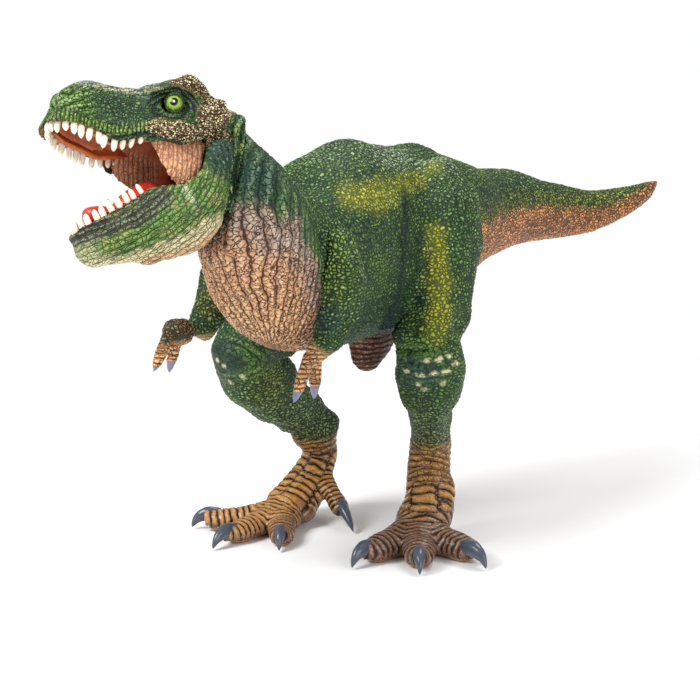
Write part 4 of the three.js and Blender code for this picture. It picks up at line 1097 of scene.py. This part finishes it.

# %% [markdown]
# The head's paint follows its patches, in the order of the body's: green first, then the pale ridge of
# the nose, the bone, the nape with its yellow lumps, a dark rim along the lip that is painted shadow under
# its edge, and last the mouth, with painted shade under the tuck of the right corner.

# %% Head paint
coat.spray(LEAF, 0.6 * front + 0.25 * slow)
coat.spray(linear(80, 110, 66), 0.75 * oval)
coat.spray(DEEP, 0.6 * blob(both, (12, -18.5, 8), (4, 4, 6), 0.4) + 0.4 * between * soft(quick, -0.2, 1))
nasal = soft(z + 0.3 * quick, 8.9, 10.2) * soft(-15 - y, 0, 5)
coat.spray(linear(122, 142, 126), 0.85 * nasal)
coat.spray(linear(170, 184, 166), nasal, "dry")
ridge_far, _, _ = along_chain(both, [(7.8, -37, 9.2), (8.9, -28, 10.6), (10.2, -21, 11.6), (11.6, -16, 13.4)])
ridge = 1 - soft(ridge_far + 0.45 * quick, 0.4, 1.3)
coat.spray(linear(206, 194, 150), 0.85 * ridge)
coat.spray(linear(116, 142, 44), 0.7 * lip * soft(lip_far + 0.3 * quick, 1.9, 0.6))
coat.spray(linear(26, 40, 24), lids)
coat.spray(linear(84, 116, 52), 0.8 * lids, "dry")
coat.glaze(bone, (188, 152, 96), (60, 38, 24), (236, 226, 186))
coat.spray(linear(224, 202, 144), bone * soft(fine, -0.5, 0.7))
coat.spray(linear(124, 86, 54), 0.5 * bone * soft(quick, 0.3, 1.2))
coat.spray(DEEP, 0.75 * neck)
for lump in ((13, 1.5, 9.5), (13.2, 4, 6.5), (12.6, 6, 2.5), (11.5, 3, 12), (13.5, 2, 4)):
    coat.spray(linear(132, 152, 44), 0.85 * blob(both, lump, (2.2, 1.5, 3), 0.3))
coat.spray(linear(214, 214, 170), neck * soft(fine, 0.9, 1.4))
lip_shadow_far, _, _ = along_chain(level, [(0, -45.5, -1.6), (4.5, -44, -1.6), (8.2, -40.4, -1.8), (10.2, -34.8, -2.6),
                                     (11, -30.1, -3.4), (11.8, -24.3, -3), (12.8, -18.7, -1.6), (14, -15.7, -1.6),
                                     (13.5, -9, -1.4)])
# painted shadow: a dark rim along the lower edge of the lip, above the teeth
coat.spray(INK, 0.9 * (1 - soft(lip_shadow_far, 0.7, 1.5)))
coat.glaze(cave, (190, 96, 42), (96, 34, 16), (218, 132, 72))
# painted shade under the tuck of skin at the right corner of the mouth
coat.soak(linear(22, 34, 26), blob(coat.at, (-13, -21, -7.5), (5, 5, 4.5), 0.5))
coat.scales *= 1 - cave
coat.folds *= 1 - cave
coat.write()
dress(embossed(head), "figure", "skull", "head")
print("head painted")

# %% [markdown]
# The lower jaw is a separate moulding on the hinge, so its skin rides on the jaw body. Its map turns
# with it: in it the jaw is shut. The wrinkles lie in bows under the tooth row, each a little further
# from it, and they close round the corner of the mouth.

# %% Lower jaw
jaw = grown("skin_jaw", ["lower_jaw"], voxel=0.55, smooth=5)
sculpt(jaw.data, jaw_map, [
    ((1.5, -43.4, -1), (5, 3, 3.4), -1.0), ((3, -41, -8.4), (5, 4, 3), 0.5), ((13, -14.5, -9), (4, 5, 4), 0.6),
    ((3, -27, -15.2), (6, 5, 3), 0.9), ((3, -19, -17.6), (6, 4, 3), -0.5), ((7.2, -34, -7), (3, 6, 2), 0.5),
    ((8.5, -27, -9.4), (3, 5, 2.4), 0.5),
])
coat = Coat(jaw.data, jaw_map)
both = folded(coat.at)
x, y, z = both.T
slow = ripple(coat.at, 14, 31)
quick = ripple(coat.at, 4, 32)
fine = ripple(coat.at, 1.8, 33)
bow_line = [(0, -46, 0.5), (0, -40, -0.6), (0, -34, -1.8), (0, -27, -2.6), (0, -19, -1.6), (0, -12, 1.5)]
bow, _, _ = along_chain(both * np.array((0, 1, 1)), bow_line)
chin = soft(-37.5 - y + 0.5 * quick, 0, 3.5)
coat.fold(np.full(len(x), 0.95), ringed(bow / 1.5))
flap = blob(both, (15.5, -1, -1), (6, 6.5, 11), 0.6)
coat.folds *= 0.8 * (1 - 0.45 * flap)
coat.scales = 0.45 * flap
coat.deep = 0.72 - 0.3 * chin
coat.grain = 1.15
print("jaw patterned,", len(both), "points")

# %% [markdown]
# Under the teeth the jaw is dark, then green with yellow, and pale toward the throat. The flap at its
# rear end is blue-green. Only the inner side of the rim is red.

# %% Jaw paint
coat.spray(LEAF, 0.4 + 0.35 * slow)
coat.spray(linear(160, 150, 88), 0.6 * soft(quick, -0.2, 1.2))
dark_far, _, _ = along_chain(both, [(2, -43, 0), (5.6, -39.7, -0.9), (7.4, -34.5, -2.1), (8.8, -27.6, -3.2),
                                    (11.5, -19.1, -2.6)])
coat.spray(linear(72, 64, 60), 0.9 * (1 - soft(dark_far + 0.5 * quick, 1.4, 3.4)))
coat.spray(linear(150, 156, 58), 0.75 * blob(both, (6.3, -36.5, -6.5), (4, 8, 2.6), 0.3) * soft(fine, -0.4, 0.7))
coat.spray(DEEP, 0.8 * flap)
coat.spray(TEAL, 0.7 * blob(both, (16, -1, -1), (4, 5, 6), 0.4))
coat.spray(linear(184, 200, 150), 0.75 * blob(both, (14.6, -14, -5), (3, 1.5, 5), 0.3))
stations = [-44, -36, -27, -18.5, -8, 2]
pale = soft(-np.interp(y, stations, [5.6, 10, 12, 14, 14, 10]) + 0.7 * quick - z, -1.6, 1.2)
coat.spray(linear(206, 196, 150), pale)
under = soft(-np.interp(y, stations, [9, 12.6, 14.4, 17, 17, 13]) + 0.3 * quick - z, -1.2, 1.2)
coat.spray(linear(204, 156, 116), under)
coat.spray(linear(180, 178, 132), 0.8 * chin * soft(-1.5 - z, 0, 2) * (1 - 0.5 * pale))
coat.spray(linear(220, 216, 182), 0.75 * chin * soft(-6 - z, 0, 3))
coat.spray(linear(46, 36, 24), 0.8 * pale, "wash")
coat.spray(CREAM, 0.8 * pale, "dry")
inner = soft(z, -1.0, 0.4) * soft(10.4 - x, 0, 1.4) * soft(-14 - y, 0, 3)
outward = np.maximum(soft(np.sign(coat.at[:, 0]) * coat.out[:, 0], -0.1, 0.35), soft(-coat.out[:, 1], 0.1, 0.5))
coat.glaze(inner * (1 - outward), (188, 70, 50), (110, 26, 20), (222, 110, 88))
coat.spray(linear(58, 44, 38), 0.9 * inner * outward)
coat.write()
dress(embossed(jaw), "jaw", "jaw", "lower_jaw")
print("jaw painted")

# %% [markdown]
# Inside the mouth the vinyl is painted, not scaled. The lining is deep red in the throat, orange on the
# palate and pinkish on the cheeks, where the stretched skin between the jaws shows long upright grooves.
# On the right side the stretched skin reaches a little further forward.

# %% Mouth lining and tongue
def stretched(at):
    """Draws the skin of the right cheek forward, and takes the warp of the lip."""
    x, y, z = at.T
    ahead = (5.2 + 3.0 * soft(-z, 2, 8)) * soft(-x, 5, 9.5) * soft(-y, 3, 13)
    return np.stack([x, y - ahead, lipped(at)[:, 2]], 1)


moist = painted_skin("satin mouth", coat_gloss=0.25, bump=0.6)
lining = grown("skin_mouth", ["mouth_lining"], voxel=0.6, smooth=4)
shape(lining.data, head_map, stretched)
coat = Coat(lining.data, head_map)
both = folded(coat.at)
x, y, z = both.T
quick = ripple(coat.at, 4, 42)
coat.plain(linear(182, 92, 50), linear(110, 34, 18), linear(222, 146, 100), 0.34)
cheek = soft(x, 7.4, 9.4) * soft(y, -25, -19)
coat.fold(0.8 * cheek, ringed((y + 0.15 * z) / 1.35))
coat.deep = 1 - 0.3 * cheek
coat.glaze(cheek, (216, 158, 118), (132, 76, 52), (232, 190, 156))
coat.spray(linear(176, 108, 74), 0.5 * cheek * soft(quick, 0, 1.2))
throat = blob(both, (0, -9, -3), (11, 13, 14), 0.45) * (1 - cheek) * soft(7.8 - x, 0, 2)
for layer, share in zip(LAYERS, (0.97, 0.97, 0.97 * 0.7)):
    coat.spray(linear(84, 10, 4), share * throat, layer)
coat.write()
dress(embossed(lining), "figure", "lining", "mouth_lining", finish=moist)

tongue = grown("wet_tongue", ["tongue"], voxel=0.4, smooth=6)
sculpt(tongue.data, jaw_map, [((0, -18, 2), (9, 12, 9), 2.0), ((0, -35, 1), (7, 5, 6), 1.6),
                              ((0, -28.5, 2), (8, 4, 7), -0.9)])
coat = Coat(tongue.data, jaw_map)
coat.plain(linear(206, 58, 44), linear(140, 24, 20), linear(232, 108, 90), 0.25, 0.25)
coat.spray(linear(150, 26, 20), 0.6 * (1 - soft(np.abs(coat.at[:, 0]), 0.3, 1.6)))
coat.deep[:] = 0.3
coat.write()
dress(embossed(tongue), "jaw", "tongue", "tongue", finish=moist)
print("mouth painted")

# %% [markdown]
# A tooth and a claw are the same form: a rod that bends and narrows. It is made from a plain cone that
# is cut across many times, and then every ring of points is moved onto a bent centre line.

# %% Horns
def horn(form, path, radii, side, flat=1.0):
    """Adds a bent, narrowing rod along three points; radii are pairs of share and millimetres."""
    part = bmesh.new()
    bmesh.ops.create_cone(part, cap_ends=True, cap_tris=False, segments=14, radius1=1, radius2=1, depth=1)
    long_edges = [e for e in part.edges if abs(e.verts[0].co.z - e.verts[1].co.z) > 0.5]
    bmesh.ops.subdivide_edges(part, edges=long_edges, cuts=11)
    first, bend, last = (Vector(p) for p in path)
    across = Vector(side)
    for vert in part.verts:
        t = vert.co.z + 0.5
        centre = first * (1 - t) ** 2 + bend * 2 * t * (1 - t) + last * t * t
        way = ((bend - first) * (1 - t) + (last - bend) * t).normalized()
        right = (across - way * across.dot(way)).normalized()
        up = way.cross(right)
        radius = float(np.interp(t, [r[0] for r in radii], [r[1] for r in radii]))
        vert.co = centre + right * (vert.co.x * radius * flat) + up * (vert.co.y * radius)
    passing = mesh_from("horn", part)
    form.from_mesh(passing)
    bpy.data.meshes.remove(passing)


def finished(form, name, matrix):
    """Makes a piece of forms that were laid out in a map's millimetres."""
    form.transform(Matrix.Scale(MM, 4) @ matrix)
    bmesh.ops.recalc_face_normals(form, faces=form.faces)
    mesh = mesh_from(name, form)
    for polygon in mesh.polygons:
        polygon.use_smooth = True
    return linked(name, mesh)


print("horns ready")

# %% [markdown]
# The teeth stand along a bent row, left and right alike, at an even pitch that a little chance breaks up.
# Each leans, and each has a length and a thickness of its own. Their roots are stained. A row is written
# as shares of the jaw: how far ahead, aside and up.

# %% Tooth rows
ROW_SCALE = np.array((20, 50, 20))
TOOTH_SHAPE = ((0, 0.85), (0.35, 1.0), (0.75, 0.92), (0.9, 0.66), (0.98, 0.3), (1, 0.1))


def tooth_row(name, row, pitch, lengths, pointing, matrix, body_name, node, rule=None):
    """Teeth along both sides of a jaw; lengths go from the front of the row to its rear end."""
    draw = np.random.default_rng(7 if pointing < 0 else 8)
    path = np.array([(aside, -ahead, height) for ahead, aside, height in row]) * ROW_SCALE
    path = np.concatenate([path, path[-2::-1] * np.array((-1, 1, 1))])
    if rule:
        path = rule(path)
    steps = np.linalg.norm(np.diff(path, axis=0), axis=1)
    walked = np.concatenate([[0], np.cumsum(steps)])
    count = int(walked[-1] / pitch)
    form = bmesh.new()
    for number in range(count + 1):
        way = walked[-1] * (number + 0.5) / (count + 1) + draw.uniform(-0.24, 0.24)
        rear = abs(way / walked[-1] - 0.5) * 2
        foot = Vector([float(np.interp(way, walked, path[:, k])) for k in range(3)])
        next_foot = Vector([float(np.interp(way + 0.5, walked, path[:, k])) for k in range(3)])
        along = (next_foot - foot).normalized()
        outward = Vector((foot.x, foot.y + 20, 0)).normalized()
        tall = float(np.interp(rear, [0, 0.35, 0.75, 1], lengths)) * draw.uniform(0.82, 1.1)
        thick = float(np.interp(rear, [0, 0.3, 0.7, 1], [0.8, 0.92, 0.9, 0.7])) * draw.uniform(0.9, 1.06)
        root = foot - Vector((0, 0, pointing * 0.9))
        tip = foot + Vector((0, 0, pointing * tall)) - outward * 0.35 + along * draw.uniform(-0.4, 0.4)
        bend = (root + tip) / 2 + outward * 0.55
        horn(form, (root, bend, tip), [(share, radius * thick) for share, radius in TOOTH_SHAPE], along)
    teeth = finished(form, name, matrix)
    coat = Coat(teeth.data, matrix)
    rise = (coat.at[:, 2] - np.interp(-coat.at[:, 1], -path[:len(row), 1], path[:len(row), 2])) * pointing
    coat.plain(linear(240, 234, 214), linear(214, 196, 150), linear(250, 248, 238), 0.28)
    coat.spray(linear(206, 168, 104), 0.85 * soft(-rise, -1.1, 0.4))
    coat.spray(linear(150, 96, 48), 0.8 * soft(-rise, -0.4, 0.6))
    coat.write()
    dress(teeth, body_name, "teeth", node, finish=enamel)
    print(name, count + 1, "teeth")
    return path


enamel = painted_skin("tooth enamel", coat_gloss=0.3, bump=0.3)
upper_row = [(.39, .515, -.08), (.46, .49, -.14), (.54, .465, -.145), (.62, .45, -.08), (.70, .42, -.035),
             (.765, .365, 0), (.81, .27, .01), (.84, .14, .01), (.848, 0, .01)]
lower_row = [(.42, .385, .02), (.48, .355, .02), (.55, .325, .02), (.62, .30, .02), (.70, .265, .02),
             (.76, .215, .02), (.80, .13, .015), (.812, 0, .01)]
upper_path = tooth_row("upper_tooth_row", upper_row, 2.3, (3.0, 3.9, 3.5, 1.7), -1, head_map, "figure",
                       "upper_teeth", lipped)
lower_path = tooth_row("lower_tooth_row", lower_row, 2.3, (3.5, 4.0, 3.8, 3.0), 1, jaw_map, "jaw", "lower_teeth")

# %% [markdown]
# Each row stands in a gum, a round strip laid along the same path and sunk a little. The side that faces
# out is dark; on the upper row that dark is painted shadow under the lip.

# %% Gums
GUM_RADIUS = 1.15


def gum(name, path, matrix, body_name, node, slot, colour, sink):
    curve = bpy.data.curves.new(name, "CURVE")
    curve.dimensions = "3D"
    curve.bevel_depth = GUM_RADIUS * MM
    curve.bevel_resolution = 5
    curve.use_fill_caps = True
    line = curve.splines.new("NURBS")
    line.points.add(len(path) - 1)
    line.order_u = 3
    line.use_endpoint_u = True
    for point, place in zip(line.points, path):
        point.co = (*((matrix @ (Vector(place) + Vector((0, 0, sink)))) * MM), 1)
    rod = linked(name, curve)
    bpy.context.view_layer.update()
    mesh = bpy.data.meshes.new_from_object(rod.evaluated_get(bpy.context.evaluated_depsgraph_get()))
    bpy.data.objects.remove(rod)
    piece = linked(name, mesh)
    coat = Coat(mesh, matrix)
    coat.plain(colour, np.array(colour) * 0.35, np.array(colour) * 0.7 + 0.3, 0.3)
    # dark on the outer side; on the upper gum this is painted shadow under the lip
    outer = soft(np.sign(coat.at[:, 0]) * coat.out[:, 0], 0.0, 0.4)
    outer = np.maximum(outer, soft(-coat.out[:, 1], 0.0, 0.4) * (np.abs(coat.at[:, 0]) < 6))
    coat.spray(linear(40, 26, 22), 0.92 * outer)
    coat.write()
    dress(piece, body_name, slot, node, finish=moist)


gum("upper_gum", upper_path, head_map, "figure", "upper_teeth", "lining", linear(186, 96, 48), 0.5)
gum("lower_gum", lower_path, jaw_map, "jaw", "lower_teeth", "tongue", linear(206, 62, 46), -0.5)
print("gums laid")

# %% [markdown]
# Toe claws are cast with the foot and painted a glossy slate. The skin's mesh is too coarse for their
# points, so each gets its own horn, set into the end of the toe.

# %% Claws
slate = painted_skin("glossy slate", coat_gloss=0.6, bump=0.15)
for side, bulk in (("left", 1.0), ("right", 0.92)):
    form = bmesh.new()
    for name, (root, tip) in toe_tips.items():
        if not name.startswith(side):
            continue
        root, tip = Vector(root), Vector(tip)
        level = (tip - root) * Vector((1, 1, 0))
        start = Vector((root.x, root.y, 0)) + level * 0.70 + Vector((0, 0, 4.6 * bulk))
        knee = Vector((root.x, root.y, 0)) + level * 0.93 + Vector((0, 0, 6.3 * bulk))
        horn(form, (start, knee, tip + Vector((0, 0, 0.1))),
             [(0, 2.3 * bulk), (0.3, 2.55 * bulk), (0.6, 1.9 * bulk), (0.85, 1.0 * bulk), (0.97, 0.45), (1, 0.2)],
             level.cross(Vector((0, 0, 1))), 0.82)
    if side == "right":
        root, tip = hallux
        way = tip - root
        horn(form, (root + way * 0.58, root + way * 0.82 + Vector((0, 0, 1.4)), tip),
             [(0, 1.7), (0.4, 1.6), (0.8, 0.8), (1, 0.15)], (0, 0, 1))
    claw = finished(form, side + "_claws", hips_map)
    coat = Coat(claw.data, hips_map)
    coat.plain(linear(72, 78, 92), linear(34, 38, 48), linear(128, 134, 148), 0.16)
    coat.write()
    dress(claw, "figure", "limb", side + "_leg", finish=slate)
print("claws set")

# %% [markdown]
# The eyes are glossy domes. The iris, the pupil and the small white glint are painted rings round the
# line of sight, or for the glint round a line a little off it; the glint is a painted highlight. Two rolled rims
# are the lids.

# %% Eyes
EYE_RADIUS = 2.72
LID_REACH = 2.85


def eye(name, centre, gaze, node):
    """A dome with its iris, its pupil and its glint, which is a painted highlight."""
    form = bmesh.new()
    bmesh.ops.create_uvsphere(form, u_segments=64, v_segments=48, radius=EYE_RADIUS)
    form.transform(Matrix.Translation(Vector(centre)))
    ball = finished(form, name, head_map)
    coat = Coat(ball.data, head_map)
    off = coat.at - np.array(centre)

    def from_line(line):
        """Distance to a line out of the eye; points behind the eye count as far."""
        way = np.array(line.normalized())
        return np.linalg.norm(off - (off @ way)[:, None] * way, axis=1) + 9 * (off @ way < 0)

    from_gaze = from_line(Vector(gaze))
    from_glint = from_line(Vector(gaze) + Vector((0.02, -0.04, 0.02)))
    streak = ripple(coat.at, 0.7, 51)
    coat.plain(linear(134, 168, 40), linear(56, 88, 16), linear(176, 200, 84), 0.22)
    coat.spray(linear(70, 104, 22), soft(from_gaze, 1.2, 2.0) * soft(streak, -1.2, 0.8))
    coat.spray(linear(12, 14, 8), soft(from_gaze, 1.85, 2.3))
    coat.soak((0.004, 0.004, 0.004), 1 - soft(from_gaze, 1.0, 1.2))
    # painted highlight: the small white glint
    coat.soak((0.85, 0.85, 0.85), 1 - soft(from_glint, 0.2, 0.36))
    coat.write()
    dress(ball, "figure", "eye", node, finish=glass)


def lids_of(name, centre, gaze):
    """Two rolled rims that leave an almond of the eye free."""
    ahead = Vector(gaze).normalized()
    upright = (Vector((0, 0, 1)) - ahead * ahead.z).normalized()
    across = ahead.cross(upright)
    form = bmesh.new()

    def on_ball(side_turn, up_turn):
        way = ahead * math.cos(side_turn) * math.cos(up_turn) + across * math.sin(side_turn) * math.cos(up_turn)
        return Vector(centre) + (way + upright * math.sin(up_turn)) * LID_REACH

    for lift, roll in ((math.radians(52), 0.62), (math.radians(-58), 0.5)):
        first, last = on_ball(math.radians(-68), -0.06), on_ball(math.radians(68), 0.06)
        bend = on_ball(0, lift) * 2 - (first + last) / 2
        horn(form, (first, bend, last), [(0, 0.2), (0.3, roll), (0.7, roll), (1, 0.2)], ahead)
    rims = finished(form, name, head_map)
    coat = Coat(rims.data, head_map)
    coat.scales[:] = 0
    coat.fold(np.full(len(coat.at), 0.7), ringed(coat.at[:, 1] * 1.4 + coat.at[:, 2]))
    coat.paint[:] = linear(40, 58, 32)
    coat.dry[:] = linear(96, 124, 56)
    coat.write()
    dress(rims, "figure", "skull", "head")


glass = painted_skin("eye gloss", coat_gloss=0.3, bump=0.0)
for side, sign in (("left", 1), ("right", -1)):
    centre, gaze = (sign * 12.5, -13.7, 9.3), (sign * 0.9, -0.41, 0.02)
    eye(side + "_eyeball", centre, gaze, side + "_eye")
    lids_of(side + "_lids", centre, gaze)
print("eyes painted")

# %% [markdown]
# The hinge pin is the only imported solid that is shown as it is. It gets a dark, slightly scuffed plastic.

# %% Hinge pin
pin_finish = bpy.data.materials.new("dark pin plastic")
pin_finish.use_nodes = True
tree = pin_finish.node_tree
shader = tree.nodes["Principled BSDF"]
place = add(tree, "ShaderNodeTexCoord").outputs["Object"]
scuffs = add(tree, "ShaderNodeTexNoise", {"Vector": place, "Scale": 900.0, "Detail": 3.0}).outputs[0]
tone = mixed(tree, ramp(tree, scuffs, 0.4, 0.65), linear(38, 42, 38), linear(66, 72, 66))
tree.links.new(tone, shader.inputs["Base Color"])
tree.links.new(ramp(tree, scuffs, 0.3, 0.7, 0.42, 0.6), shader.inputs["Roughness"])
for slot in frame["nodes"]["jaw_pin"].material_slots:
    slot.material = pin_finish
print("pin finished")

# %% [markdown]
# The floor is a wide pale disc. It catches the soft shadow under the feet, and further out it fades to
# plain white, as paper does in a light tent. Only the camera and mirror-like reflections see that white,
# so it puts no extra light on the figure.

# %% Floor
def seen_only(tree):
    """One for rays from the camera and its reflections, nought for the light on the figure."""
    path = add(tree, "ShaderNodeLightPath")
    shown = sums(tree, "ADD", path.outputs["Is Camera Ray"], path.outputs["Is Glossy Ray"])
    return sums(tree, "MINIMUM", sums(tree, "ADD", shown, path.outputs["Is Transmission Ray"]), 1.0)


paper = bpy.data.materials.new("white paper")
paper.use_nodes = True
tree = paper.node_tree
matte = tree.nodes["Principled BSDF"]
matte.inputs["Base Color"].default_value = (0.86, 0.86, 0.86, 1)
matte.inputs["Roughness"].default_value = 0.9
matte.inputs["Specular IOR Level"].default_value = 0.0
place = add(tree, "ShaderNodeTexCoord").outputs["Object"]
centre = add(tree, "ShaderNodeVectorMath", {0: place, 1: (0.0, -0.03, 0.0)}, operation="SUBTRACT")
distance = add(tree, "ShaderNodeVectorMath", {0: centre.outputs[0]}, operation="LENGTH").outputs["Value"]
white = add(tree, "ShaderNodeEmission", {"Color": (1, 1, 1, 1)})
white.inputs["Strength"].default_value = 1.0
fade = sums(tree, "MULTIPLY", ramp(tree, distance, 0.10, 0.30), seen_only(tree))
blend = add(tree, "ShaderNodeMixShader", {0: fade, 1: matte.outputs[0], 2: white.outputs[0]})
tree.links.new(blend.outputs[0], tree.nodes["Material Output"].inputs[0])
form = bmesh.new()
bmesh.ops.create_circle(form, cap_ends=True, segments=96, radius=6.0)
floor = linked("floor", mesh_from("floor", form))
floor.data.materials.append(paper)
print("floor laid")

# %% [markdown]
# The light tent gives an even white from all sides, and the camera sees it as plain white paper. Three
# round softboxes give form: the key from the upper left, a weak fill from the right, and one from above.

# %% Light
world = bpy.data.worlds.new("light tent")
scene.world = world
world.use_nodes = True
tree = world.node_tree
tent = tree.nodes["Background"]
path = add(tree, "ShaderNodeLightPath")
level = sums(tree, "MULTIPLY_ADD", path.outputs["Is Camera Ray"], 0.5, 0.5)
level = sums(tree, "MULTIPLY_ADD", path.outputs["Is Glossy Ray"], -0.15, level)
tree.links.new(level, tent.inputs["Strength"])
tent.inputs["Color"].default_value = (1, 1, 1, 1)


def softbox(name, place, power, size):
    """A round lamp that looks at the middle of the figure."""
    lamp = bpy.data.lights.new(name, "AREA")
    lamp.shape = "DISK"
    lamp.size = size
    lamp.energy = power
    box = linked(name, lamp)
    box.location = spot(*place)
    box.rotation_mode = "QUATERNION"
    box.rotation_quaternion = (box.location - spot(0, -20, 60)).to_track_quat("Z", "Y")


softbox("key", (-260, -520, 620), power=7.0, size=0.4)
softbox("fill", (620, -300, 260), power=2.2, size=0.5)
softbox("top", (60, 260, 700), power=2.4, size=0.4)
scene.view_settings.view_transform = "Standard"
print("three softboxes and a tent")

# %% [markdown]
# The last cell only prints that the scene is ready.

# %% Scene ready
print("scene ready")
